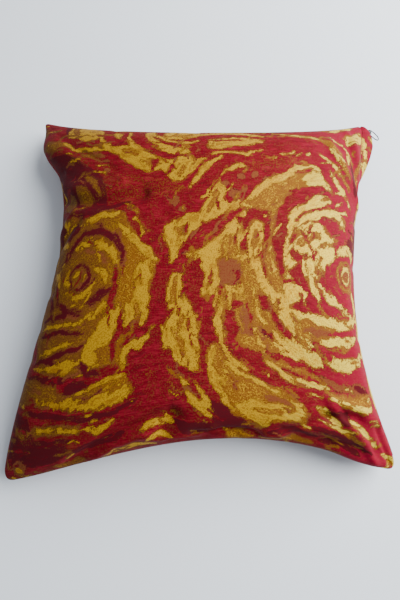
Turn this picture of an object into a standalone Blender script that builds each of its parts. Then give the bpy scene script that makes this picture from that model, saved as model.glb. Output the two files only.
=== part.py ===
"""Square throw cushion in a woven satin cover, lying on its back, with a lapped zip in one side.

Metres, +Z up. The origin is the middle of the flat patch that the cushion rests on. +X runs to
the zip side of the front panel and +Y to its top edge. A place on a panel is given as (s, t):
both run from -1 to 1 between the seams, s along X and t along Y, as on the cloth laid flat.
"""
import math
from typing import NamedTuple

import bmesh
import bpy
import numpy as np
from mathutils import Vector

# Driving dimensions of the filled cushion
HALF_PANEL = 0.2032         # half the side of the flat 16 in cover
CORNER_Z = 0.020            # height of the seam at the corners
SEAM_RISE = 0.020           # how much higher the seam runs halfway along a side
CROWN = 0.063               # height of the front panel's crown over the seam
BELLY = 0.060               # depth of the back panel's crown, before it rests on the surface
FLATTEN = 0.0010            # how far the resting patch is pressed flat
REST_SOFTNESS = 0.006       # how softly the belly turns into the resting patch
PANEL_SWELL = 0.12          # how much the filling spreads a panel over its drawn-in seams
CORNER_ROUNDING = 0.06      # rounded share of each half side at a corner
PULL_POWER = 1.36           # how full the ears stay beside the drawn-in sides
SEAM_GROOVE = 0.0018        # depth of the crease that the stitching pulls into the side
PANEL_STEPS = 48            # cells along each side of a panel
EDGE_ROW = 0.985            # last row of points before the seam
ROW_CURVE = 0.25            # share of the row spacing that tightens towards the seams

# The zip in the right-hand seam
LAP_THICKNESS = 0.0018
LAP_STANDOFF = 0.0003       # from the side's smooth outline to the lap's sewn edge
TAPE_THICKNESS = 0.0012
TAPE_SPAN = (0.45, 0.92)    # part of the lap's width that the tape lies behind
TAPE_ENDS = (-0.84, 0.962)
TAPE_GAP = 0.0007
SLIDER_SIZE = Vector((0.0050, 0.0078, 0.0030))
SLIDER_PLACE = Vector((0.2063, 0.2013, 0.0136))
PULL_HEADING = math.radians(-27.0)   # level direction that the slider and its pull point in
BRIDGE_WIRE = 0.0005        # radius of the bridge that carries the pull
BRIDGE_SPAN = 0.0046
BRIDGE_RISE = 0.0029
PULL_WIRE = 0.00048         # radius of the pull's wire
PULL_LENGTH = 0.0165
PULL_WIDTH = 0.0062
PULL_DROOP = math.radians(22.0)
PULL_LIFT = 0.0013          # height of the pull's end bar over the slider's body


class Corner(NamedTuple):
    """A seam corner: its signs on the panel, and where it lies."""
    s: int
    t: int
    x: float
    y: float


class Side(NamedTuple):
    """A drawn-in side: its depth in metres and how far its deepest place is off the middle."""
    depth: float
    lean: float


class Fold(NamedTuple):
    """A soft fold of a panel: its ends, its bow to the left, its height and its half width."""
    s0: float
    t0: float
    s1: float
    t1: float
    bow_mm: float
    height_mm: float
    width_mm: float


class Pucker(NamedTuple):
    """A short pleat that starts at a seam: which side, where along it, its reach and its depth."""
    side: str
    at: float
    reach_mm: float
    depth_mm: float


class LapRow(NamedTuple):
    """The zip's lap at one place along the seam: its width and how steeply it hangs."""
    t: float
    width_mm: float
    droop_deg: float


CORNERS = (
    Corner(-1, -1, -0.1998, -0.2013),
    Corner(1, -1, 0.1950, -0.1937),
    Corner(-1, 1, -0.1971, 0.1978),
    Corner(1, 1, 0.1960, 0.2080),
)

LEFT = Side(0.0427, 0.204)
RIGHT = Side(0.0380, -0.142)
NEAR = Side(0.0388, 0.106)
FAR = Side(0.0317, -0.003)

FRONT_FOLDS = (
    # Long sag from the left side and the soft roll over it
    Fold(-0.96, 0.40, -0.38, 0.38, -9.0, -4.0, 7.5),
    Fold(-0.92, 0.47, -0.50, 0.45, -6.0, 2.0, 8.0),
    # Pleats that fan from the left side
    Fold(-0.97, 0.10, -0.76, 0.25, 0.0, -2.6, 5.0),
    Fold(-0.97, 0.19, -0.80, 0.31, 0.0, 1.6, 5.0),
    # Crease towards the near left ear, with its roll
    Fold(-0.62, -0.97, -0.13, -0.75, 5.0, -4.0, 7.0),
    Fold(-0.52, -0.98, -0.20, -0.84, 4.0, 2.4, 5.0),
    # Dimple over the near side, the lip under it and the gap below the lip
    Fold(-0.10, -0.82, -0.06, -0.72, 0.0, -5.0, 9.0),
    Fold(-0.20, -0.84, 0.05, -0.83, -14.0, 2.6, 6.0),
    Fold(-0.14, -0.95, 0.02, -0.95, -4.0, -3.0, 6.5),
    # Crease along the near seam, the roll below it and a small bump
    Fold(-0.03, -0.86, 0.27, -0.91, 4.0, -4.0, 5.0),
    Fold(0.00, -0.95, 0.22, -0.96, 0.0, 2.5, 6.0),
    Fold(0.28, -0.93, 0.36, -0.92, 0.0, 3.0, 6.0),
    # Creases and rolls that run into the near right ear
    Fold(0.38, -0.87, 0.62, -0.74, -3.0, -3.0, 6.0),
    Fold(0.45, -0.93, 0.84, -0.91, 0.0, -4.5, 11.0),
    Fold(0.86, -0.99, 0.64, -0.72, -7.0, 4.2, 7.0),
    Fold(0.62, -0.75, 0.78, -0.71, 0.0, -3.6, 6.0),
    Fold(0.64, -0.66, 0.92, -0.74, 4.0, 3.6, 8.0),
    Fold(0.90, -0.76, 0.96, -0.95, 0.0, -2.6, 5.0),
    # Taut ridges down the zip side from the far right ear
    Fold(0.66, 0.92, 0.95, 0.36, -10.0, 3.2, 7.0),
    Fold(0.84, 0.88, 0.97, 0.42, -3.0, -3.6, 6.5),
    Fold(0.78, 0.96, 0.93, 0.62, 4.0, 2.4, 5.5),
)

# The underside isn't seen: it gets the pull of its ears and of its seams alone
BACK_FOLDS = (
    Fold(-0.88, -0.90, -0.60, -0.62, 0.0, -2.5, 8.0),
    Fold(0.90, -0.86, 0.62, -0.64, 3.0, -2.5, 8.0),
    Fold(-0.88, 0.88, -0.64, 0.60, 3.0, -2.5, 8.0),
    Fold(0.86, 0.90, 0.60, 0.66, 0.0, -2.5, 8.0),
)

PUCKERS = (
    Pucker("left", -0.42, 18.0, 1.8),
    Pucker("left", -0.27, 14.0, 1.4),
    Pucker("left", -0.10, 22.0, 2.0),
    Pucker("left", 0.58, 16.0, 1.5),
    Pucker("near", -0.40, 14.0, 1.5),
    Pucker("near", 0.16, 12.0, 1.4),
    Pucker("near", 0.62, 16.0, 1.6),
    Pucker("right", -0.34, 15.0, 1.4),
    Pucker("right", 0.02, 20.0, 1.7),
    Pucker("right", 0.26, 14.0, 1.4),
    Pucker("far", -0.50, 15.0, 1.4),
    Pucker("far", -0.06, 20.0, 1.7),
    Pucker("far", 0.34, 15.0, 1.5),
)

LAP_ROWS = (
    LapRow(-0.92, 8.0, 68.0),
    LapRow(-0.86, 15.0, 67.0),
    LapRow(-0.72, 17.0, 70.0),
    LapRow(-0.55, 17.0, 77.0),
    LapRow(-0.30, 17.0, 82.0),
    LapRow(0.25, 17.0, 82.0),
    LapRow(0.50, 17.0, 76.0),
    LapRow(0.62, 17.0, 62.0),
    LapRow(0.70, 17.5, 44.0),
    LapRow(0.78, 18.0, 28.0),
    LapRow(0.86, 18.0, 15.0),
    LapRow(0.92, 16.0, 13.0),
    LapRow(0.965, 10.5, 12.0),
)


def draw_in(w, side):
    """How far a drawn-in side has come in from the line between its corners."""
    eased = w - side.lean * (1.0 - w * w)
    return side.depth * np.clip(1.0 - eased * eased, 0.0, 1.0) ** PULL_POWER


def rounded(s, t):
    """Pulls the square (s, t) grid in at the corners, as the sewn corners are round."""
    start = 1.0 - CORNER_ROUNDING
    across = np.clip((np.abs(s) - start) / CORNER_ROUNDING, 0.0, 1.0)
    up = np.clip((np.abs(t) - start) / CORNER_ROUNDING, 0.0, 1.0)
    round_s = np.sign(s) * (start + CORNER_ROUNDING * across * np.sqrt(1.0 - up * up / 2.0))
    round_t = np.sign(t) * (start + CORNER_ROUNDING * up * np.sqrt(1.0 - across * across / 2.0))
    return np.where(across > 0.0, round_s, s), np.where(up > 0.0, round_t, t)


def settled(z):
    """A height that turns softly into the surface that the cushion rests on."""
    return 0.5 * (z + np.sqrt(z * z + REST_SOFTNESS ** 2))


def panel_point(s, t, front):
    """The smooth filled shape: a point of the front or the back panel."""
    rs, rt = rounded(s, t)
    x = sum((1 + c.s * rs) * (1 + c.t * rt) / 4 * c.x for c in CORNERS)
    y = sum((1 + c.s * rs) * (1 + c.t * rt) / 4 * c.y for c in CORNERS)
    right = (1.0 + rs) / 2.0
    far = (1.0 + rt) / 2.0
    x = x + (1.0 - right) * draw_in(rt, LEFT) - right * draw_in(rt, RIGHT)
    y = y + (1.0 - far) * draw_in(rs, NEAR) - far * draw_in(rs, FAR)
    x = x * (1.0 + PANEL_SWELL * np.sqrt(np.clip(1 - rt * rt, 0, 1)) * (1 - np.abs(rs) ** 5))
    y = y * (1.0 + PANEL_SWELL * np.sqrt(np.clip(1 - rs * rs, 0, 1)) * (1 - np.abs(rt) ** 5))
    dome = np.sqrt(np.clip((1.0 - s * s) * (1.0 - t * t), 0.0, 1.0))
    seam = CORNER_Z + SEAM_RISE * np.maximum(1.0 - s * s, 1.0 - t * t)
    return x, y, settled(seam) + CROWN * dome if front else settled(seam - BELLY * dome)


def pucker_fold(pucker):
    """The short fold that a pucker makes, from its seam towards the middle of the panel."""
    reach = pucker.reach_mm / 1000.0 / HALF_PANEL
    out, inner = 0.99, 0.99 - reach
    ends = {
        "left": (-out, pucker.at, -inner, pucker.at * 0.97),
        "right": (out, pucker.at, inner, pucker.at * 0.97),
        "near": (pucker.at, -out, pucker.at * 0.97, -inner),
        "far": (pucker.at, out, pucker.at * 0.97, inner),
    }
    return Fold(*ends[pucker.side], 0.0, -pucker.depth_mm, 4.5)


def fold_height(s, t, fold):
    """Height in metres that one fold adds at (s, t): a soft ridge or trough along its line."""
    start = np.array((fold.s0, fold.t0)) * HALF_PANEL
    run = np.array((fold.s1, fold.t1)) * HALF_PANEL - start
    length = float(np.hypot(*run))
    along_x, along_y = run / length
    dx = s * HALF_PANEL - start[0]
    dy = t * HALF_PANEL - start[1]
    along = dx * along_x + dy * along_y
    share = np.clip(along / length, 0.0, 1.0)
    aside = -dx * along_y + dy * along_x - fold.bow_mm / 1000.0 * 4.0 * share * (1.0 - share)
    beyond = along - share * length
    width = fold.width_mm / 1000.0
    return fold.height_mm / 1000.0 * np.exp(-(aside * aside + beyond * beyond) / (width * width))


def relief(s, t, folds):
    """All the folds and puckers of one panel, fading out at the seam itself."""
    height = sum(fold_height(s, t, fold) for fold in folds)
    height = height + sum(fold_height(s, t, pucker_fold(p)) for p in PUCKERS)
    inset = HALF_PANEL * (1.0 - np.maximum(np.abs(s), np.abs(t)))
    fade = 1.0 - np.exp(-((inset / 0.006) ** 2))
    return height * fade


def row_places():
    """Places of the rows along a panel, closer together towards the seams."""
    even = np.linspace(-1.0, 1.0, PANEL_STEPS - 1)
    inner = EDGE_ROW * (ROW_CURVE * np.sin(even * math.pi / 2.0) + (1.0 - ROW_CURVE) * even)
    return np.concatenate(([-1.0], inner, [1.0]))


def add_panel(bm, front):
    """Adds one panel to bm as a grid, each point moved to its place on the filled cushion."""
    cells = PANEL_STEPS
    made = bmesh.ops.create_grid(bm, x_segments=cells, y_segments=cells, size=1.0)["verts"]
    places = row_places()
    column = np.rint((np.array([v.co.x for v in made]) + 1.0) * cells / 2.0).astype(int)
    row = np.rint((np.array([v.co.y for v in made]) + 1.0) * cells / 2.0).astype(int)
    s, t = places[column], places[row]
    x, y, z = panel_point(s, t, front)
    for vert, place in zip(made, zip(x, y, z)):
        vert.co = place
    faces = list({face for vert in made for face in vert.link_faces})
    if not front:
        bmesh.ops.reverse_faces(bm, faces=faces)
    bm.normal_update()
    heights = relief(s, t, FRONT_FOLDS if front else BACK_FOLDS)
    on_seam = np.maximum(np.abs(s), np.abs(t)) > 0.9999
    moves = []
    for vert, height, seam in zip(made, heights, on_seam):
        if seam:
            inward = Vector((-vert.co.x, -vert.co.y, 0.0)).normalized()
            moves.append(inward * SEAM_GROOVE)
        else:
            moves.append(vert.normal * float(height))
    for vert, move in zip(made, moves):
        vert.co += move


def press_flat(bm):
    """Presses the lowest points onto the surface and joins the resting patch into one face."""
    for vert in bm.verts:
        vert.co.z = max(vert.co.z - FLATTEN, 0.0)
    patch = [face for face in bm.faces if all(vert.co.z == 0.0 for vert in face.verts)]
    bmesh.ops.dissolve_faces(bm, faces=patch, use_verts=True)


def material(name, color, roughness, metallic):
    """A plain Principled finish."""
    made = bpy.data.materials.new(name)
    made.use_nodes = True
    shader = made.node_tree.nodes["Principled BSDF"]
    shader.inputs["Base Color"].default_value = (*color, 1.0)
    shader.inputs["Roughness"].default_value = roughness
    shader.inputs["Metallic"].default_value = metallic
    return made


def add_object(name, mesh, finish, collection):
    """Links a mesh to the collection as a named object with its own finish."""
    mesh.materials.clear()
    mesh.materials.append(finish)
    made = bpy.data.objects.new(name, mesh)
    collection.objects.link(made)
    return made


def mesh_from(bm, name):
    """Turns bm into a mesh and frees it."""
    mesh = bpy.data.meshes.new(name)
    bm.to_mesh(mesh)
    bm.free()
    return mesh


def build_cushion(collection):
    """The filled cushion: front and back panel, sewn together along the seam."""
    bm = bmesh.new()
    add_panel(bm, front=True)
    add_panel(bm, front=False)
    bmesh.ops.remove_doubles(bm, verts=bm.verts, dist=0.00002)
    press_flat(bm)
    mesh = mesh_from(bm, "cushion")
    mesh.shade_smooth()
    finish = material("woven satin", (0.42, 0.07, 0.05), 0.42, 0.0)
    return add_object("cushion", mesh, finish, collection)


def seam_frame(t):
    """A point of the zip seam and the level direction that points away from the cushion."""
    step = 0.01
    here = np.array(panel_point(np.ones(1), np.array([t]), True))[:, 0]
    after = np.array(panel_point(np.ones(1), np.array([t + step]), True))[:, 0]
    before = np.array(panel_point(np.ones(1), np.array([t - step]), True))[:, 0]
    run = after - before
    outward = np.array((run[1], -run[0], 0.0))
    return here - np.array((0.0, 0.0, FLATTEN)), outward / np.linalg.norm(outward)


def lap_point(t, share, inset):
    """A point of the lap: share is its place across the lap, inset its distance behind it."""
    rows = np.array(LAP_ROWS)
    width = np.interp(t, rows[:, 0], rows[:, 1]) / 1000.0
    droop = math.radians(np.interp(t, rows[:, 0], rows[:, 2]))
    root, outward = seam_frame(t)
    down = np.array((0.0, 0.0, -1.0))
    along = outward * math.cos(droop) + down * math.sin(droop)
    behind = down * math.cos(droop) - outward * math.sin(droop)
    curl = 0.0012 * math.sin(math.pi * share)
    return root + outward * LAP_STANDOFF + along * width * share + behind * (inset - curl)


def strip_mesh(name, t0, t1, steps, shares, inset, thickness):
    """A strip of cloth along the zip seam, made as a grid and given its thickness."""
    bm = bmesh.new()
    across = len(shares) - 1
    made = bmesh.ops.create_grid(bm, x_segments=steps, y_segments=across, size=1.0)["verts"]
    for vert in made:
        t = t0 + (t1 - t0) * (vert.co.x + 1.0) / 2.0
        share = shares[round((vert.co.y + 1.0) / 2.0 * across)]
        vert.co = lap_point(t, share, inset)
    mesh = mesh_from(bm, name)
    holder = bpy.data.objects.new(name + " strip", mesh)
    bpy.context.scene.collection.objects.link(holder)
    wall = holder.modifiers.new("thickness", "SOLIDIFY")
    wall.thickness = thickness
    wall.offset = 0.0
    wall.use_even_offset = True
    solid = bpy.data.meshes.new_from_object(holder.evaluated_get(
        bpy.context.evaluated_depsgraph_get()))
    bpy.data.objects.remove(holder)
    return solid


def build_lap(collection):
    """The lap: the folded strip of satin that covers the zip."""
    shares = (0.0, 0.25, 0.5, 0.75, 1.0)
    mesh = strip_mesh("zip_lap", LAP_ROWS[0].t, LAP_ROWS[-1].t, 56, shares, 0.0, LAP_THICKNESS)
    mesh.shade_smooth()
    return add_object("zip_lap", mesh, material("lap satin", (0.45, 0.20, 0.05), 0.45, 0.0), collection)


def build_tape(collection):
    """The closed zip's tape and teeth, a strip behind the lap."""
    inset = (LAP_THICKNESS + TAPE_THICKNESS) / 2.0 + TAPE_GAP
    mesh = strip_mesh("zip_tape", *TAPE_ENDS, 40, TAPE_SPAN, inset, TAPE_THICKNESS)
    return add_object("zip_tape", mesh, material("zip tape", (0.10, 0.03, 0.03), 0.7, 0.0), collection)


def wire_mesh(points, radius, cyclic):
    """A round wire through the points, as a closed mesh."""
    curve = bpy.data.curves.new("wire", "CURVE")
    curve.dimensions = "3D"
    curve.bevel_depth = radius
    curve.bevel_resolution = 2
    curve.use_fill_caps = True
    spline = curve.splines.new("POLY")
    spline.points.add(len(points) - 1)
    for control, point in zip(spline.points, points):
        control.co = (*point, 1.0)
    spline.use_cyclic_u = cyclic
    holder = bpy.data.objects.new("wire", curve)
    bpy.context.scene.collection.objects.link(holder)
    graph = bpy.context.evaluated_depsgraph_get()
    mesh = bpy.data.meshes.new_from_object(holder.evaluated_get(graph))
    bpy.data.objects.remove(holder)
    bm = bmesh.new()
    bm.from_mesh(mesh)
    bmesh.ops.remove_doubles(bm, verts=bm.verts, dist=0.00001)
    bm.to_mesh(mesh)
    bm.free()
    return mesh


def build_slider(collection, cutters):
    """The zip's slider: a tapered body with the wire bridge that carries the pull."""
    bm = bmesh.new()
    for vert in bmesh.ops.create_cube(bm, size=1.0)["verts"]:
        taper = 1.0 - 0.30 * (vert.co.y + 0.5)
        vert.co.x *= SLIDER_SIZE.x * taper
        vert.co.y *= SLIDER_SIZE.y
        vert.co.z *= SLIDER_SIZE.z
    bmesh.ops.bevel(bm, geom=bm.edges[:], offset=0.0006, segments=2, affect="EDGES")
    finish = material("slider metal", (0.20, 0.19, 0.18), 0.35, 1.0)
    slider = add_object("zip_slider", mesh_from(bm, "zip_slider"), finish, collection)
    top = SLIDER_SIZE.z / 2.0
    arch = [Vector((0.0, -BRIDGE_SPAN / 2.0, top - 0.0008))]
    for k in range(9):
        turn = math.pi * k / 8.0
        arch.append(Vector((0.0, -BRIDGE_SPAN / 2.0 * math.cos(turn),
                            top + BRIDGE_RISE * math.sin(turn) ** 0.8)))
    arch.append(Vector((0.0, BRIDGE_SPAN / 2.0, top - 0.0008)))
    bridge = bpy.data.objects.new("bridge", wire_mesh(arch, BRIDGE_WIRE, False))
    cutters.objects.link(bridge)
    bridge.hide_render = True
    bridge.display_type = "WIRE"
    join = slider.modifiers.new("bridge", "BOOLEAN")
    join.operation = "UNION"
    join.solver = "EXACT"
    join.object = bridge
    for piece in (slider, bridge):
        piece.location = SLIDER_PLACE
        piece.rotation_euler = (0.0, 0.0, PULL_HEADING - math.pi / 2.0)
    return slider


def build_pull(collection):
    """The pull: a thin wire loop, square where it runs under the bridge and round at its tip."""
    steps = 28
    points = []
    for k in range(steps):
        turn = 2.0 * math.pi * k / steps
        along = PULL_LENGTH / 2.0 * (1.0 - math.cos(turn))
        fullness = 0.35 if math.cos(turn) > 0.0 else 0.8
        aside = PULL_WIDTH / 2.0 * abs(math.sin(turn)) ** fullness
        points.append(Vector((along, math.copysign(aside, math.sin(turn)), 0.0)))
    mesh = wire_mesh(points, PULL_WIRE, True)
    mesh.shade_smooth()
    pull = add_object("zip_pull", mesh, material("pull wire", (0.32, 0.32, 0.33), 0.3, 1.0), collection)
    pull.location = SLIDER_PLACE + Vector((0.0, 0.0, SLIDER_SIZE.z / 2.0 + PULL_LIFT))
    pull.rotation_euler = (0.0, PULL_DROOP, PULL_HEADING)
    return pull


def main():
    """Clears the scene and builds the cushion and its zip."""
    for old in list(bpy.data.objects):
        bpy.data.objects.remove(old, do_unlink=True)
    parts = bpy.data.collections.new("throw cushion")
    cutters = bpy.data.collections.new("cutters")
    bpy.context.scene.collection.children.link(parts)
    bpy.context.scene.collection.children.link(cutters)
    build_cushion(parts)
    build_lap(parts)
    build_tape(parts)
    build_slider(parts, cutters)
    build_pull(parts)


main()
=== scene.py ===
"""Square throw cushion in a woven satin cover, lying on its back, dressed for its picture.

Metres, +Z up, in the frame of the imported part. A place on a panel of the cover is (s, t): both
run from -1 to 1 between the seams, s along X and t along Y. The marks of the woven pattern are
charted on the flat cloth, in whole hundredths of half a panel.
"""
import logging
import math
from dataclasses import dataclass, field
from enum import Enum
from typing import Any, Sequence

import bmesh
import bpy
import numpy as np
from mathutils import Matrix, Vector


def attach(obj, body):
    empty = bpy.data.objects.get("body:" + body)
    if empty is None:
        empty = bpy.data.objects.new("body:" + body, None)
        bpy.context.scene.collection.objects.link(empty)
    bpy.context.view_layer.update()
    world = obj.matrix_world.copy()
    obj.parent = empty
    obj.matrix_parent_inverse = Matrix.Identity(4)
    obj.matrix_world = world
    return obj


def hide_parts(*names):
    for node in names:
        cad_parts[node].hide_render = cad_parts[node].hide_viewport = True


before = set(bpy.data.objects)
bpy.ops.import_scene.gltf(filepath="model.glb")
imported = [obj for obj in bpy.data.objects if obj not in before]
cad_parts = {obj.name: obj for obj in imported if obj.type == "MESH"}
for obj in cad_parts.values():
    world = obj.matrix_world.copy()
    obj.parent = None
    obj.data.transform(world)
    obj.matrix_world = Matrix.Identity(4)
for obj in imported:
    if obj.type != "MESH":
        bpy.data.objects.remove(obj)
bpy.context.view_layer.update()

LOG = logging.getLogger("cushion")
Colour = tuple[float, float, float]
Places = tuple[tuple[float, float], ...]
HUNDREDTH = 0.01
MM = 0.001
TINY = 1e-12
STILL = 1e-9            # a move too small to count, in metres
ON_RIM = 0.9999         # a place from here on lies on the seam
NEVER = -9.0            # a depth far outside any mark
FILL_BRUSH = 6.0        # brush that patches are filled with, in hundredths
RANDOM_GRID = 128       # random values along each side of a smooth field
FIELD_START = 3.0       # how far before the middle of the cloth a smooth field starts
NOISE_GAIN = 5.5        # spreads a noise texture over about -1 to 1


class Tone(Enum):
    """The colours of the woven figure, in the order of their layers over the crimson ground.

    A speckle isn't a colour of its own: it scatters flecks over what is there.
    """

    CRIMSON = 0
    WINE = 1
    RUST = 2
    OCHRE = 3
    GOLD = 4
    SPECKLE = 5


TONE_LETTERS = dict(zip("CWROGK", Tone))


class Panel(Enum):
    """The two panels of the cover."""

    FRONT = "front"
    BACK = "back"


class Edge(Enum):
    """The four seams, as they lie in the picture."""

    LEFT = "left"
    RIGHT = "right"
    NEAR = "near"
    FAR = "far"


def linear(red: int, green: int, blue: int) -> Colour:
    """Turns a display colour, each part from 0 to 255, into linear scene values."""
    shares = [value / 255.0 for value in (red, green, blue)]
    return tuple(v / 12.92 if v <= 0.04045 else ((v + 0.055) / 1.055) ** 2.4 for v in shares)


def chart(places: str) -> np.ndarray:
    """Reads places charted in whole hundredths, such as "10,20 12,24", into (s, t) rows."""
    pairs = [pair.split(",") for pair in places.split()]
    return np.array([(float(a), float(b)) for a, b in pairs]) * HUNDREDTH


def to_line(s: np.ndarray, t: np.ndarray, a: np.ndarray, b: np.ndarray) -> tuple:
    """Distance from each place to a straight line between two places.

    Args:
        s: Places along X.
        t: Places along Y.
        a: Start of the line.
        b: End of the line.

    Returns:
        The distances and the shares of the line at which they are met.
    """
    run = b - a
    square = max(float(run @ run), TINY)
    share = np.clip(((s - a[0]) * run[0] + (t - a[1]) * run[1]) / square, 0.0, 1.0)
    return np.hypot(s - a[0] - share * run[0], t - a[1] - share * run[1]), share


def softened(depth: np.ndarray, half: float) -> np.ndarray:
    """The cover of a mark at depths inside it: 0.5 on its edge, softer the wider it is."""
    soft = float(np.clip(0.5 * half + 0.010, 0.014, 0.030))
    return np.clip(0.5 + depth / soft, 0.0, 1.0)


def wandering(s: np.ndarray, t: np.ndarray, pitch: float, seed: int) -> np.ndarray:
    """Smooth random values from -1 to 1.

    Args:
        s: Places along X.
        t: Places along Y.
        pitch: Distance from one random value to the next.
        seed: Which set of random values.

    Returns:
        A value at each place.
    """
    size = (RANDOM_GRID, RANDOM_GRID)
    table = np.random.default_rng(seed).uniform(-1.0, 1.0, size)
    x, y = (s + FIELD_START) / pitch, (t + FIELD_START) / pitch
    i, j = np.floor(x).astype(int), np.floor(y).astype(int)
    u, v = x - i, y - j
    u, v = u * u * (3.0 - 2.0 * u), v * v * (3.0 - 2.0 * v)
    i, j, beside, above = (k % RANDOM_GRID for k in (i, j, i + 1, j + 1))
    near = table[i, j] * (1.0 - u) + table[beside, j] * u
    far = table[i, above] * (1.0 - u) + table[beside, above] * u
    return near * (1.0 - v) + far * v


@dataclass(frozen=True)
class Mark:
    """A mark of the woven figure.

    Attributes:
        tone: Its colour.
        width: The width of its brush, in hundredths.
        places: Its charted places, as (s, t) rows.
    """

    tone: Tone
    width: float
    places: np.ndarray

    @property
    def half(self) -> float:
        """Half the width of its brush, in half panels."""
        return self.width * HUNDREDTH / 2.0

    def depth(self, s: np.ndarray, t: np.ndarray) -> np.ndarray:
        """How deep each place lies inside the mark.

        Args:
            s: Places along X.
            t: Places along Y.

        Returns:
            Depths, below 0 outside.
        """
        raise NotImplementedError


@dataclass(frozen=True)
class Stroke(Mark):
    """A brush stroke along its places, thinner towards its ends.

    Attributes:
        tip: Share of its width at its ends.
        body: How soon it is at its full width.
        ease: How roundly it gets there.
    """

    tip: float = 0.35
    body: float = 4.6
    ease: float = 0.7

    def depth(self, s: np.ndarray, t: np.ndarray) -> np.ndarray:
        """How deep each place lies inside the stroke.

        Args:
            s: Places along X.
            t: Places along Y.

        Returns:
            Depths, below 0 outside.
        """
        line = self.places
        steps = np.hypot(*np.diff(line, axis=0).T)
        ran = np.concatenate(([0.0], np.cumsum(steps))) / steps.sum()
        inside = np.full(s.shape, NEVER)
        for k in range(len(line) - 1):
            off, share = to_line(s, t, line[k], line[k + 1])
            q = ran[k] + (ran[k + 1] - ran[k]) * share
            full = np.clip(self.body * q * (1.0 - q), 0.0, 1.0) ** self.ease
            wide = self.half * (self.tip + (1.0 - self.tip) * full)
            inside = np.maximum(inside, wide - off)
        return inside


@dataclass(frozen=True)
class Patch(Mark):
    """A filled area inside its places.

    Attributes:
        teeth: Height of the saw teeth along its edge, in hundredths.
        pitch: Distance from one tooth to the next.
        slant: How much the teeth slant.
        sway: How unevenly they follow each other.
        sway_rate: How fast that changes along X.
    """

    teeth: float = 0.0
    pitch: float = 0.023
    slant: float = 0.3
    sway: float = 0.02
    sway_rate: float = 37.0

    def depth(self, s: np.ndarray, t: np.ndarray) -> np.ndarray:
        """How deep each place lies inside the patch.

        Args:
            s: Places along X.
            t: Places along Y.

        Returns:
            Depths, below 0 outside.
        """
        nearest = np.full(s.shape, -NEVER)
        within = np.zeros(s.shape, bool)
        for a, b in zip(self.places, np.roll(self.places, -1, axis=0)):
            nearest = np.minimum(nearest, to_line(s, t, a, b)[0])
            crossed = (a[1] > t) != (b[1] > t)
            rise = b[1] - a[1] if b[1] != a[1] else TINY
            within ^= crossed & (s < a[0] + (b[0] - a[0]) * (t - a[1]) / rise)
        slanted = s - self.slant * t + self.sway * np.sin(self.sway_rate * s)
        saw = np.abs(slanted / self.pitch % 1.0 - 0.5) * 4.0 - 1.0
        return np.where(within, nearest, -nearest) + self.teeth * HUNDREDTH * saw


@dataclass(frozen=True)
class Ring(Mark):
    """A ring round its one place, or a disc.

    Attributes:
        radius: Its radius, in hundredths; 0 for a disc.
    """

    radius: float = 0.0

    def depth(self, s: np.ndarray, t: np.ndarray) -> np.ndarray:
        """How deep each place lies inside the ring.

        Args:
            s: Places along X.
            t: Places along Y.

        Returns:
            Depths, below 0 outside.
        """
        middle = self.places[0]
        out = np.hypot(s - middle[0], t - middle[1])
        return self.half - np.abs(out - self.radius * HUNDREDTH)


def marks(text: str) -> tuple[Mark, ...]:
    """Reads charted marks, one to a line, in the order in which they are laid.

    A line starts with the letter of its tone. Places alone make a patch, and the word teeth with
    their height saws its edge. A width before the places makes a stroke. The word ring with a
    width and a radius makes a ring. A line that starts with a space goes on with the mark above.

    Args:
        text: The lines, with all numbers in hundredths.

    Returns:
        The marks.
    """
    laid: list[Mark] = []
    for line in text.strip().replace("\n ", " ").splitlines():
        letter, *words = line.split()
        tone = TONE_LETTERS[letter]
        places = chart(" ".join(word for word in words if "," in word))
        sizes = [float(word) for word in words if "," not in word and not word.isalpha()]
        if words[0] == "ring":
            laid.append(Ring(tone, sizes[0], places, sizes[1]))
        elif words[0] == "teeth" or not sizes:
            laid.append(Patch(tone, FILL_BRUSH, places, *sizes))
        else:
            laid.append(Stroke(tone, sizes[0], places))
    return tuple(laid)


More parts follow.
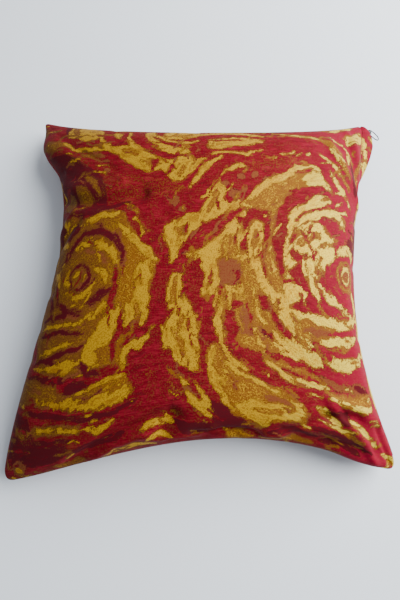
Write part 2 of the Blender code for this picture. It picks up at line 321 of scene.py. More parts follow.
LEFT_ROSE = marks("""
O -96,8 -92,26 -80,27 -68,25 -58,29 -46,27 -36,12 -25,0 -27,-14 -32,-30 -36,-48 -48,-48 -62,-50
 -80,-47 -96,-30
W -96,30 -84,24 -90,12 -96,14
W -84,22 -76,24 -72,20 -80,14 -88,16
W 4 -78,8 -70,17 -60,18 -50,13 -45,6 -44,0
G 4 -70,23 -60,26 -50,27
G 4 -50,21 -43,15 -36,9 -30,3 -26,0
C 5 -46,28 -40,20 -34,12 -28,8
G 5 -74,9 -68,12 -62,13 -55,10 -50,5 -47,0
R 3 -74,4 -66,8 -58,6 -53,1
W 2 -80,2 -76,8 -70,6 -62,5 -56,1
G 2.5 -88,27 -86,22 -84,25
G 2 -91,14 -86,20 -79,23
G 2.5 -88,13 -80,12
O ring 10 8 -68,-5
W ring 2 6 -68,-5
O ring 7 0 -69,-5
G 2.5 -72,-5 -69,-3 -66,-5
G 1.6 -76,-1 -77,-5 -74,-9
G 3.5 -69,-15 -63,-14 -58,-8
G 3 -59,-1 -54,-3 -51,-9
W 5 -60,-18 -54,-15 -49,-11
W 2.5 -82,-2 -84,-8 -80,-16 -72,-20 -62,-21
G 3 -90,-1 -84,-3 -82,-8
W 3 -92,-10 -86,-14 -82,-20
G 4 -60,-25 -54,-23 -50,-20 -46,-17
W 3 -90,-24 -76,-22 -62,-23
G 2 -90,-28 -76,-26 -62,-26 -55,-25
W 2.5 -88,-31 -74,-29 -58,-31
G 2.4 -84,-39 -75,-37 -63,-34
W 3 -88,-42 -76,-41 -62,-38 -56,-36
G -80,-45 -72,-42 -60,-43 -58,-45 -64,-49 -72,-48
W 3 -90,-48 -80,-50 -66,-52 -54,-53
G -36,-1 -29,0 -27,-6 -28,-12 -26,-19 -30,-22 -33,-18 -35,-12 -37,-6
K -60,-24 -46,-24 -42,-34 -42,-46 -56,-47 -60,-36
G -59,-45 -56,-36 -52,-30 -50,-25 -47,-21 -42,-19 -39,-25 -41,-33 -45,-38 -50,-40 -47,-44 -54,-47
C 1.6 -49,-20 -46,-26 -45,-31
W 3 -57,-44 -52,-50 -46,-51
C 4 -47,-2 -46,-10 -47,-18 -44,-22
C 3 -40,-23 -39,-32 -42,-38 -41,-46
C 4 -35,-22 -36,-30 -35,-36
G -39,-20 -34,-18 -33,-27 -37,-31
G -31,-19 -27,-18 -26,-28 -30,-32
G 4 -24,-36 -28,-40 -33,-38 -36,-44 -35,-50
C 3 -29,-33 -32,-36 -38,-40
""")

LOWER_LEFT = marks("""
O -96,-48 -84,-50 -70,-54 -60,-60 -70,-62 -84,-60 -96,-62
W -64,-54 -54,-53 -50,-56 -56,-59 -64,-58
O -84,-58 -66,-62 -52,-57 -42,-54 -33,-54 -30,-60 -36,-66 -50,-67 -66,-64 -80,-62
G teeth 1.1 -64,-61 -52,-60 -42,-58 -33,-57 -30,-61 -34,-65 -42,-68 -52,-67 -64,-64 -78,-61
G 2.4 -50,-57 -42,-54 -34,-54
O 2 -58,-61 -46,-60 -36,-59
W 3 -88,-64 -72,-67 -54,-71 -40,-71 -28,-66
O -80,-71 -66,-72 -54,-74 -54,-78 -68,-78 -80,-76
G 3 -77,-73 -66,-75 -55,-77
W 4 -86,-80 -70,-82 -56,-81
G 3.5 -51,-75 -46,-79 -38,-74
W -96,-64 -84,-68 -78,-80 -64,-82 -56,-88 -72,-94 -90,-92 -97,-88
K 9 -66,-79 -60,-84 -54,-87
O 3 -94,-72 -86,-76 -80,-74
K 8 -96,-70 -88,-74 -76,-80
R -93,-90 -88,-88 -84,-92 -86,-97 -92,-97
G 3 -91,-93 -87,-95
G 4 -26,-83 -19,-79 -12,-82
G 4 -46,-97 -36,-93 -28,-92 -20,-95
G 3 -24,-89 -19,-87 -14,-90
W 5 -60,-90 -46,-86 -34,-84
""")

MIDDLE_RIVER = marks("""
G -17,-8 -13,-7 -11,-14 -12,-24 -16,-25 -18,-16
O 3 -14,-9 -15,-16 -14,-23
K 6 -8,-2 -7,-10 -6,-16
G -9,-18 -6,-22 -3,-28 0,-38 1,-46 0,-55 -4,-53 -9,-50 -13,-44 -17,-43 -17,-33 -13,-27
C 1.5 -6,-26 -5,-34 -3,-44
O 3 -13,-34 -9,-40 -6,-47
O 2 -8,-28 -9,-34 -12,-38
K 5 -25,-55 -21,-54
G 3 -8,-56 -5,-62 -3,-68 1,-74
G 3 -3,-60 1,-66 6,-73 8,-79
C 2 -5,-57 -1,-65 3,-74
G -1,-70 4,-68 8,-76 7,-80 2,-78
W -12,-80 4,-82 12,-86 6,-92 -8,-90
""")

UPPER_LEFT = marks("""
W -98,68 -82,67 -72,60 -62,50 -58,42 -60,32 -72,34 -84,32 -98,40
O -92,41 -88,42 -82,40 -81,33 -88,31 -93,34
O -78,44 -72,44 -67,36 -70,33 -78,36
O 3 -72,50 -66,46 -62,38
W 6 -82,29 -66,30 -54,32 -46,34
O 6 -99,92 -96,86
W -82,96 -73,97 -71,84 -78,82
O -97,75 -91,80 -82,79 -77,74 -82,70 -92,70
G -77,92 -72,96 -62,92 -56,86 -57,77 -65,76 -70,80 -77,80
O 4 -74,92 -72,84 -68,80
C 5 -88,88 -80,80 -72,77 -64,73 -56,73
G 4 -80,77 -72,71 -63,69 -54,70 -49,74
K 8 -80,68 -74,64 -68,58
O 3 -70,66 -64,64 -60,60
G 3 -57,88 -54,78 -53,70 -50,65
C ring 5 5 -46,79
G 3.5 -48,84 -46,81 -45,78
G 3 -40,86 -38,77 -39,70
G 3 -52,90 -46,88 -40,90
G -52,71 -45,70 -38,72 -31,66 -26,61 -18,60 -9,61 -9,55 -12,49 -17,44 -22,44 -25,49 -29,52 -35,51
 -41,54 -47,60
O -46,68 -40,69 -36,65 -40,62 -45,64
O -38,59 -31,59 -27,56 -34,54
O 3 -20,57 -16,52 -18,47
C 3 -33,52 -31,57 -28,59
C 2.4 -25,49 -22,54 -19,58
C 5 -36,90 -35,77 -32,68 -26,62 -18,60 -10,62
G -32,84 -29,72 -25,66 -18,62 -11,62 -10,65 -16,69 -22,73 -25,80 -26,86
G 2.2 -24,80 -19,74 -12,71 -3,74
C 2 -27,79 -21,72 -11,68 0,71
G -21,82 -18,76 -12,75 -5,77 -2,82 -4,90 -18,92
O 3 -16,80 -10,78 -5,81
R 5 -62,66 -58,62 -56,60
R 3 -60,52 -56,53
K -62,52 -44,50 -24,46 -12,38 -30,34 -50,34 -62,38
G 3 -9,43 -6,50 -1,56 6,60
G 2 -12,50 -7,56 -3,59
""")

MIDDLE_TOP = marks("""
G -25,17 -20,20 -14,22 -8,21 -6,17 -10,12 -13,6 -15,0 -18,-2 -19,4 -22,9 -24,13
O 4 -19,16 -14,14 -16,8
C 2 -12,19 -13,14 -16,12
R 3 -18,26 -14,27
R 3 -21,30 -19,33
R 4 -14,5 -11,3
G 3 -13,23 -9,22 -6,20
G -7,20 -5,28 -2,33 0,41 3,45 6,39 6,31 11,25 6,21 -1,18
C 2 2,38 2,31 4,25
O 3 -2,24 0,30 2,36
G 8,24 14,31 20,33 26,31 24,27 18,26 18,22 12,22
G 0,66 2,75 8,77 16,78 24,77 31,76 30,73 22,70 14,69 8,67
C 1.6 2,74 12,75 22,75
G 3 -3,80 8,84 20,83 30,80
K 6,52 12,58 28,62 48,64 60,60 52,54 36,52 20,49
C 4 14,57 28,60 42,62 58,60
G 3 8,50 13,54 18,53
G 2 0,62 10,64 20,62
R ring 4.5 0 22,47
R ring 4 0 15,46
R ring 4 0 7,42
R ring 6 0 11,35
R ring 4 0 29,45
G 2 36,84 50,82 62,80
K 4 50,80 60,76 66,72
""")

CENTRE = marks("""
G -11,2 -3,5 3,10 8,16 14,20 17,16 18,8 21,0 20,-8 22,-20 18,-24 14,-18 8,-12 6,-20 0,-20 0,-8
 -6,-3
O 8,12 14,10 16,2 12,-2 6,2
R 5,-2 10,1 18,-2 20,-10 16,-16 8,-14
O 4 20,-2 22,-12 24,-22
C 5 -13,4 -6,13 3,19 11,23 17,26
C 5 -4,0 -6,-8 -4,-16
O 9,-20 27,-18 34,-24 42,-34 50,-44 44,-48 34,-46 26,-46 19,-42 12,-40
G 2.6 27,-22 29,-30 34,-36 42,-42
C 0,-20 7,-20 8,-28 6,-40 1,-42 -1,-32
C 4 11,-19 16,-24 20,-24
C 12,-26 17,-28 19,-38 15,-42 12,-34
R 20,-26 26,-28 26,-38 21,-38
G 3 9,-24 9,-32 11,-42
G 1.8 12,-15 14,-20 14,-27
C 4 18,2 18,10 20,19 24,26 29,24 32,17 30,8 31,2
G 21,17 24,20 28,18 28,10 29,2 26,-5 22,1 20,9
O 3 24,14 24,6 26,0
C 1.6 27,6 27,0 30,-6
O 30,28 35,27 35,16 35,8 37,-4 40,-12 45,-20 38,-20 33,-10 30,-2 32,8 32,18
C 5 37,28 38,20 36,10 38,2 41,-8
C 1.8 22,-22 25,-30 25,-38
""")

RIGHT_ROSE = marks("""
O 18,30 24,38 34,45 46,50 58,53 66,44 70,37 60,41 50,40 42,35 38,28 30,24 22,27
G 5 20,32 27,41 36,46 45,49
G 49,44 50,48 56,53 62,50 66,43 69,36 64,38 56,41
G 3 40,49 46,54 54,56
O 4 30,36 40,41 50,44
C 5 37,26 42,33 52,39 61,40 68,36 76,30 84,24
G 42,22 45,29 51,31 57,36 64,36 67,33 62,30 54,27 48,22 44,14 43,4 48,-3 43,-8 41,-4 41,6 41,14
C 2.4 46,20 52,25 60,28 68,30 77,25
G 4.6 47,18 53,22 61,26 69,27 75,24 78,19
C 2.2 45,13 50,18 58,21 67,21 74,17
C 65,20 70,21 77,17 73,13 66,16
O 47,15 53,19 60,20 64,17 68,14 74,12 70,8 60,7 50,8
G 2.6 50,16 56,19 62,19
G 2.4 60,14 66,12 72,11
G 45,6 48,12 54,16 61,19 66,15 69,11 62,9 57,3 50,2
O 4 48,8 54,11 60,14
K 4 50,18 56,17 62,20
C 1.5 49,16 54,8 59,0
C 3 70,10 77,14 84,17 92,15
W 80,12 88,18 94,12 90,6
G 58,0 61,6 66,9 71,8 71,3 66,-2 63,-7 66,-12 72,-17 80,-21 76,-24 66,-19 60,-11 56,-5 52,-2 54,2
C 2.4 58,-3 63,-10 69,-17
C 66,-9 70,-2 74,-2 71,-8 73,-14 80,-17 90,-15 84,-20 74,-19 68,-14
G 73,7 78,11 84,10 90,6 88,0 82,3 76,2
C ring 3 9.5 80,-5
O ring 2.4 6.6 80,-5
C ring 1.6 5 80,-5
G ring 2.2 3.6 80,-5
R ring 1.6 2 80,-5
G ring 1.8 0 80,-5
C 2 73,0 77,5 84,4 89,-2 87,-10
C 4 92,2 93,-8 90,-18
G 3 86,-12 90,-16 92,-22
G 41,-9 44,-8 48,-12 51,-20 46,-24 42,-17
K 4 44,-14 48,-20
C 3 41,-12 50,-12 58,-18 64,-22
G 4 52,-3 57,-12 62,-20
C 4 46,-24 58,-25 70,-24 84,-25
G 5 50,-28 62,-29 76,-30 86,-26 90,-22
O 50,-30 62,-32 72,-31 68,-36 56,-40 50,-36
R 3 52,-34 60,-35 68,-34
C 3 66,-35 76,-33 90,-30
G 4.6 60,-40 70,-38 80,-36 87,-34
C 4.4 56,-43 68,-43 78,-41 90,-38
G 64,-48 72,-45 82,-43 90,-41 88,-46 78,-50 68,-51
C 3.4 62,-54 72,-54 84,-51 92,-48
R 58,-55 70,-57 82,-55 90,-57 82,-61 66,-60
W 3 79,-57 90,-60
O teeth 0.8 60,-61 74,-62 88,-60 92,-64 86,-68 72,-67 62,-65
G 3 62,-65 70,-66 80,-68 90,-66
C 4 62,-69 74,-71 88,-73
W 62,-72 72,-70 76,-76 66,-78
G 4 55,-71 60,-74 66,-78
G 4 73,-75 80,-79 84,-82
""")

LOWER_RIGHT = marks("""
G 22,2 27,1 30,-8 36,-17 43,-20 50,-27 54,-38 60,-46 62,-51 56,-52 50,-47 44,-46 42,-38 36,-28
 28,-20 24,-10
O 4 23,-6 27,-16 33,-24 39,-32
O 4 46,-28 50,-36 54,-44
C 27,-19 32,-20 37,-27 31,-27
W 29,-35 33,-36 38,-41 32,-40
C 4.4 36,-26 40,-34 49,-41
G 25,-32 30,-38 36,-42 46,-43 52,-47 46,-50 36,-48 28,-42
O 3 28,-36 34,-44 44,-46
C 2 32,-45 42,-49 52,-53
O 28,-45 36,-50 48,-53 56,-55 62,-58 56,-61 44,-60 34,-54
G 3.6 32,-51 42,-58 51,-60 62,-60
C 2.4 40,-54 50,-57 58,-58
C 5 17,-38 17,-50 24,-56 33,-60 42,-65 51,-66 60,-62
O 5,-44 9,-42 12,-48 17,-54 26,-58 36,-63 48,-70 52,-76 48,-82 38,-81 31,-83 27,-88 20,-82 13,-75
 7,-66 4,-55
G 3.4 7,-44 6,-54 9,-64 14,-74
G 16,-72 24,-70 34,-72 46,-70 50,-76 44,-81 34,-80 28,-86 20,-80
O 3 24,-75 34,-76 44,-75
G 2.4 12,-50 18,-56 28,-61 38,-66
R 3 30,-68 38,-70 44,-73
C 1.8 3,-48 5,-60 10,-70
G 2.4 11,-42 14,-48 18,-52 24,-55
W 6,-70 12,-72 18,-80 24,-88 14,-90 6,-84
W 5 50,-84 62,-85 74,-88 84,-92
W 4 30,-90 42,-88 54,-92
K 5 44,-84 52,-88 60,-90
O 12,-92 18,-91 24,-96 18,-99 12,-98
G 4 92,-91 96,-93 99,-98
O 3 93,-97 97,-96
G 2.4 80,-80 85,-83 88,-88
O 3 62,-80 70,-82 78,-86
G 2 56,-78 66,-81 74,-80
""")

FAR_RIGHT = marks("""
G 4 68,76 72,69 76,60 79,54
O 4 64,80 70,74 76,66
G 3.4 84,74 82,66 81,60
O 4 88,72 86,62 84,56
G 82,86 90,88 96,92 98,84 92,78 84,78
C 3 72,84 82,76 88,68 92,60
W 5 85,60 86,50 88,40
G 2.6 67,54 72,45 78,38 84,32
O 2 70,60 76,50 82,42
G 2.4 62,66 70,58 76,50
O 2.4 49,60 54,56 58,55
G 2 51,56 57,56 61,52
G 2.2 70,80 78,76 84,70 86,66
O 2.2 74,64 78,56 82,48
O 4 94,66 92,54 94,44
R 3 96,80 96,66 95,56
G 3 70,90 80,93 90,96
""")

OVER_THE_EDGES = marks("""
G -50,99 -38,98 -28,95 -36,92 -48,94
O 5 -24,96 -10,94 6,96
G 2,93 16,91 30,93 40,91 46,95 30,98 12,98
W 4 -6,90 10,88 26,88 40,87
O 50,97 60,92 70,90 64,97
G 3 -60,98 -66,92 -70,88
G 5 93,40 96,30 95,18
O 5 97,44 98,28 97,14
W 4 90,30 93,20 92,8
O 94,-2 98,4 99,-10 96,-20 93,-12
G 4 92,-24 96,-34 95,-46
G 94,-52 98,-50 99,-62 96,-70 94,-60
G 3 -98,52 -95,46 -97,38
O 5 -98,22 -96,12 -98,0
G 3 -99,-8 -97,-16 -98,-26
O -99,-34 -96,-40 -98,-52 -99,-50
O 4 30,-97 40,-95 52,-97
W 5 56,-94 66,-92 76,-95
O 3 -70,-95 -62,-98 -54,-96
""")

# Under each tone, the chance and the letter of each tone that a small touch may have over it
BRUSH_TONES = {
    Tone.CRIMSON: ((0.45, "G"), (0.30, "O"), (0.25, "R")),
    Tone.WINE: ((0.50, "C"), (0.20, "O"), (0.15, "G"), (0.15, "R")),
    Tone.RUST: ((0.40, "G"), (0.30, "O"), (0.30, "C")),
    Tone.OCHRE: ((0.60, "G"), (0.08, "W"), (0.22, "C"), (0.10, "R")),
    Tone.GOLD: ((0.70, "O"), (0.24, "C"), (0.06, "R")),
}


@dataclass
class Weave:
    """The woven tones at a set of places, as the marks are laid.

    Attributes:
        s: Places along X.
        t: Places along Y.
        shares: The share of each tone, one row for each place.
        flecks: How loosely the figure is scattered at each place.
        rim: Distance from each place to the nearest edge of a mark.
        halo: How far flecks reach round a mark of the figure.
        halo_share: How loose the figure is there.
        hiding: Share of the flecks below that a mark hides.
        farthest: The rim's value where no mark is near.
    """

    s: np.ndarray
    t: np.ndarray
    halo: float = 0.05
    halo_share: float = 0.5
    hiding: float = 0.6
    farthest: float = 0.3
    shares: np.ndarray = field(init=False)
    flecks: np.ndarray = field(init=False)
    rim: np.ndarray = field(init=False)

    def __post_init__(self) -> None:
        """Starts with the plain ground."""
        self.shares = np.zeros((self.s.size, Tone.SPECKLE.value))
        self.shares[:, Tone.CRIMSON.value] = 1.0
        self.flecks = np.zeros(self.s.size)
        self.rim = np.full(self.s.size, self.farthest)

    def lay(self, tone: Tone, depth: np.ndarray, half: float, at: Any = slice(None)) -> None:
        """Lays one mark over the tones that are there, with a few flecks around its gold.

        Args:
            tone: The mark's tone.
            depth: How deep each place lies inside the mark.
            half: Half the mark's width.
            at: The places that the depths are for.
        """
        cover = softened(depth, half)
        flecks = self.flecks[at]
        if tone is Tone.SPECKLE:
            self.flecks[at] = np.maximum(flecks, cover)
            return
        self.shares[at] *= (1.0 - cover)[:, None]
        self.shares[at, tone.value] += cover
        golden = tone in (Tone.OCHRE, Tone.GOLD)
        reach = np.clip(1.0 + depth / self.halo, 0.0, 1.0)
        around = self.halo_share * reach if golden else 0.0
        self.flecks[at] = np.maximum(flecks * (1.0 - self.hiding * cover), around)
        self.rim[at] = np.where(depth > 0.0, depth, np.minimum(self.rim[at], -depth))

    def store(self, mesh: bpy.types.Mesh, half_panel: float) -> None:
        """Keeps the tones on the points of a mesh, where the satin reads them.

        Args:
            mesh: The mesh, with one point for each place.
            half_panel: Half the side of the flat cover.
        """
        figure = mesh.attributes.new("figure", "FLOAT_COLOR", "POINT")
        figure.data.foreach_set("color", self.shares[:, 1:].astype(np.float32).ravel())
        for name, values in (("speckle", self.flecks), ("rim", self.rim * half_panel)):
            kept = mesh.attributes.new(name, "FLOAT", "POINT")
            kept.data.foreach_set("value", values.astype(np.float32))


@dataclass(frozen=True)
class CoverPattern:
    """The rose figure woven into the cover, as marks laid over each other.

    Attributes:
        groups: The marks, group by group, in the order in which they are laid.
        hearts: Middles of the two roses, in hundredths.
        divide: Place along X that parts the touches of the two roses.
        wander: How far the marks' edges wander.
        tremble: How far they tremble in the small.
        wander_pitch: Length of a wander.
        tremble_pitch: Length of a tremble.
        touches: How many small touches of the brush go over the marks.
        lengths: Shortest and longest touch.
        widths: Thinnest and widest touch.
        bend: How much a touch bends.
        turn: How far it turns off its way round the rose.
        window: How far round a touch the places are looked at.
        bare: Distance from a mark's rim past which the plain ground gets no touch.
        seed: Which set of random touches.
    """

    groups: tuple[tuple[Mark, ...], ...] = (
        UPPER_LEFT, LEFT_ROSE, LOWER_LEFT, MIDDLE_RIVER, MIDDLE_TOP, CENTRE, LOWER_RIGHT,
        RIGHT_ROSE, FAR_RIGHT, OVER_THE_EDGES,
    )
    hearts: Places = ((-69.0, -5.0), (80.0, -5.0))
    divide: float = -0.2
    wander: float = 0.0055
    tremble: float = 0.006
    wander_pitch: float = 0.06
    tremble_pitch: float = 0.025
    touches: int = 550
    lengths: tuple[float, float] = (0.02, 0.09)
    widths: tuple[float, float] = (0.006, 0.013)
    bend: float = 0.3
    turn: float = 0.2
    window: float = 0.12
    bare: float = 0.03
    seed: int = 7

    def strayed(self, at: np.ndarray, s: np.ndarray, t: np.ndarray, seed: int) -> np.ndarray:
        """Lets the edges of the marks stray along one axis, by two sets of random values."""
        return (at + self.wander * wandering(s, t, self.wander_pitch, seed)
                + self.tremble * wandering(s, t, self.tremble_pitch, seed + 1))

    def woven(self, s: np.ndarray, t: np.ndarray) -> Weave:
        """Lays every mark.

        Args:
            s: Places along X.
            t: Places along Y.

        Returns:
            The tones at each place.
        """
        across, up = self.strayed(s, s, t, 1), self.strayed(t, s, t, 3)
        weave = Weave(across, up)
        for mark in (mark for group in self.groups for mark in group):
            weave.lay(mark.tone, mark.depth(across, up), mark.half)
        self.brushwork(weave)
        return weave

    def brushwork(self, weave: Weave) -> None:
        """Adds small touches of the brush that run round the nearer rose.

        Args:
            weave: The tones so far, changed in place.
        """
        random = np.random.default_rng(self.seed)
        s, t = weave.s, weave.t
        for _ in range(self.touches):
            at = random.uniform(-1.0, 1.0, 2)
            length, width = random.uniform(*self.lengths), random.uniform(*self.widths)
            chance, bend, drift = random.uniform(), random.normal(), random.normal()
            heart = np.array(self.hearts[int(at[0] > self.divide)]) * HUNDREDTH
            near = np.flatnonzero((np.abs(s - at[0]) < self.window)
                                  & (np.abs(t - at[1]) < self.window))
            if not near.size:
                continue
            middle = near[np.argmin((s[near] - at[0]) ** 2 + (t[near] - at[1]) ** 2)]
            under = Tone(int(np.argmax(weave.shares[middle])))
            if under is Tone.CRIMSON and weave.rim[middle] > self.bare:
                continue
            round_heart = math.atan2(at[1] - heart[1], at[0] - heart[0]) + math.pi / 2.0
            turn = round_heart + self.turn * drift
            along = np.array((math.cos(turn), math.sin(turn))) * length / 2.0
            bow = np.array((-along[1], along[0])) * self.bend * bend
            line = (at - along, at + bow, at + along)
            inside = np.full(near.size, NEVER)
            for a, b in zip(line, line[1:]):
                inside = np.maximum(inside, width / 2.0 - to_line(s[near], t[near], a, b)[0])
            weave.lay(brush_tone(under, chance), inside, width / 2.0, near)


def brush_tone(under: Tone, chance: float) -> Tone:
    """Picks the tone of a small touch.

    Args:
        under: The tone that it goes over.
        chance: A random value from 0 to 1.

    Returns:
        The touch's tone.
    """
    for weight, letter in BRUSH_TONES[under]:
        chance -= weight
        if chance <= 0.0:
            return TONE_LETTERS[letter]
    return under


def store_cloth_map(mesh: bpy.types.Mesh, corners: np.ndarray) -> None:
    """Keeps the place of each face corner on the flat cloth, as rows in metres."""
    layer = mesh.uv_layers.new(name="cloth")
    layer.data.foreach_set("uv", corners.astype(np.float32).ravel())


class Term:
    """A number socket of a shader tree, with the arithmetic that the finishes use."""

    def __init__(self, bench: "Bench", socket: bpy.types.NodeSocket) -> None:
        """Wraps a socket of a bench's tree."""
        self.bench = bench
        self.socket = socket

    def worked(self, operation: str, *values: Any) -> "Term":
        """Puts numbers or terms through a Math node."""
        node = self.bench.add("ShaderNodeMath", {"operation": operation},
                              dict(enumerate(values)))
        return Term(self.bench, node.outputs[0])

    def __add__(self, other: Any) -> "Term":
        """Sum."""
        return self.worked("ADD", self, other)

    __radd__ = __add__

    def __sub__(self, other: Any) -> "Term":
        """Difference."""
        return self.worked("SUBTRACT", self, other)

    def __rsub__(self, other: Any) -> "Term":
        """Difference from a number."""
        return self.worked("SUBTRACT", other, self)

    def __mul__(self, other: Any) -> "Term":
        """Product."""
        return self.worked("MULTIPLY", self, other)

    __rmul__ = __mul__

    def __truediv__(self, other: Any) -> "Term":
        """Quotient."""
        return self.worked("DIVIDE", self, other)

    def root(self) -> "Term":
        """Square root."""
        return self.worked("SQRT", self)

    def step(self, low: float, high: float) -> "Term":
        """A soft step from 0 to 1 between two values."""
        node = self.bench.add("ShaderNodeMapRange", {"interpolation_type": "SMOOTHSTEP"},
                              {"Value": self, "From Min": low, "From Max": high})
        return Term(self.bench, node.outputs["Result"])


class Bench:
    """The node tree of one finish."""

    def __init__(self, tree: bpy.types.NodeTree) -> None:
        """Clears a tree to work on."""
        self.tree = tree
        tree.nodes.clear()

    def add(self, kind: str, settings: dict, inputs: dict) -> bpy.types.Node:
        """Adds a node.

        Args:
            kind: The node's type.
            settings: Its settings, set before its sockets.
            inputs: Values, sockets or terms, by a socket's name, identifier or number.

        Returns:
            The node.
        """
        node = self.tree.nodes.new(kind)
        for name, value in settings.items():
            setattr(node, name, value)
        for name, value in inputs.items():
            self.plug(self.socket(node, name), value)
        return node

    def socket(self, node: bpy.types.Node, name: str | int) -> bpy.types.NodeSocket:
        """An input of a node.

        Args:
            node: The node.
            name: The input's number, identifier or name.

        Returns:
            The input socket.
        """
        if isinstance(name, int):
            return node.inputs[name]
        found = [item for item in node.inputs if item.identifier == name]
        return found[0] if found else node.inputs[name]

    def plug(self, socket: bpy.types.NodeSocket, value: Any) -> None:
        """Links or sets an input.

        Args:
            socket: The input.
            value: A term, a socket or a plain value.
        """
        if isinstance(value, Term):
            value = value.socket
        if isinstance(value, bpy.types.NodeSocket):
            self.tree.links.new(value, socket)
        elif isinstance(value, tuple) and socket.type == "RGBA":
            socket.default_value = (*value[:3], 1.0)
        else:
            socket.default_value = value

    def term(self, socket: bpy.types.NodeSocket) -> Term:
        """Wraps a socket of this tree."""
        return Term(self, socket)

    def noise(self, place: Any, scale: float, detail: float, roughness: float) -> Term:
        """Noise around 0, mostly from -1 to 1, read at a vector."""
        node = self.add("ShaderNodeTexNoise", {"noise_dimensions": "3D"},
                        {"Vector": place, "Scale": scale, "Detail": detail,
                         "Roughness": roughness})
        return (self.term(node.outputs[0]) - 0.5) * NOISE_GAIN

    def vector(self, x: Any, y: Any, z: Any) -> bpy.types.NodeSocket:
        """Puts three numbers together."""
        return self.add("ShaderNodeCombineXYZ", {}, {"X": x, "Y": y, "Z": z}).outputs[0]

    def layered(self, base: Any, *layers: tuple[Any, Any]) -> bpy.types.NodeSocket:
        """Lays colours over each other.

        Args:
            base: The lowest colour.
            *layers: For each further colour, how much of it shows and the colour itself.

        Returns:
            The mixed colour.
        """
        for share, colour in layers:
            node = self.add("ShaderNodeMix", {"data_type": "RGBA"},
                            {"Factor_Float": share, "A_Color": base, "B_Color": colour})
            base = next(out for out in node.outputs if out.identifier == "Result_Color")
        return base

    def dressed(self, inputs: dict) -> None:
        """Ends the tree in a Principled shader with these inputs."""
        shader = self.add("ShaderNodeBsdfPrincipled", {}, inputs)
        self.add("ShaderNodeOutputMaterial", {}, {"Surface": shader.outputs[0]})


def new_material(name: str) -> tuple[bpy.types.Material, Bench]:
    """Makes an empty material under a name, and the bench for its tree."""
    made = bpy.data.materials.new(name)
    made.use_nodes = True
    return made, Bench(made.node_tree)


@dataclass(frozen=True)
class Threads:
    """What the satin's colours are read from: numbers around 0, but for the last two.

    Attributes:
        s: Place on the cloth along X, in metres.
        wide: Broad patches that follow the edges of the marks.
        thin: Fine lines that follow them.
        streak: Long streaks round the nearer rose.
        teeth: Short spokes round the nearer rose.
        grain: Single threads.
        spots: Clumps of threads.
        slub: Thicker threads along X.
        brushed: Broad brushing along X.
        etched: Contour lines, 1 on a line.
        speckled: Specks, 1 on a speck.
    """

    s: Term
    wide: Term
    thin: Term
    streak: Term
    teeth: Term
    grain: Term
    spots: Term
    slub: Term
    brushed: Term
    etched: Term
    speckled: Term


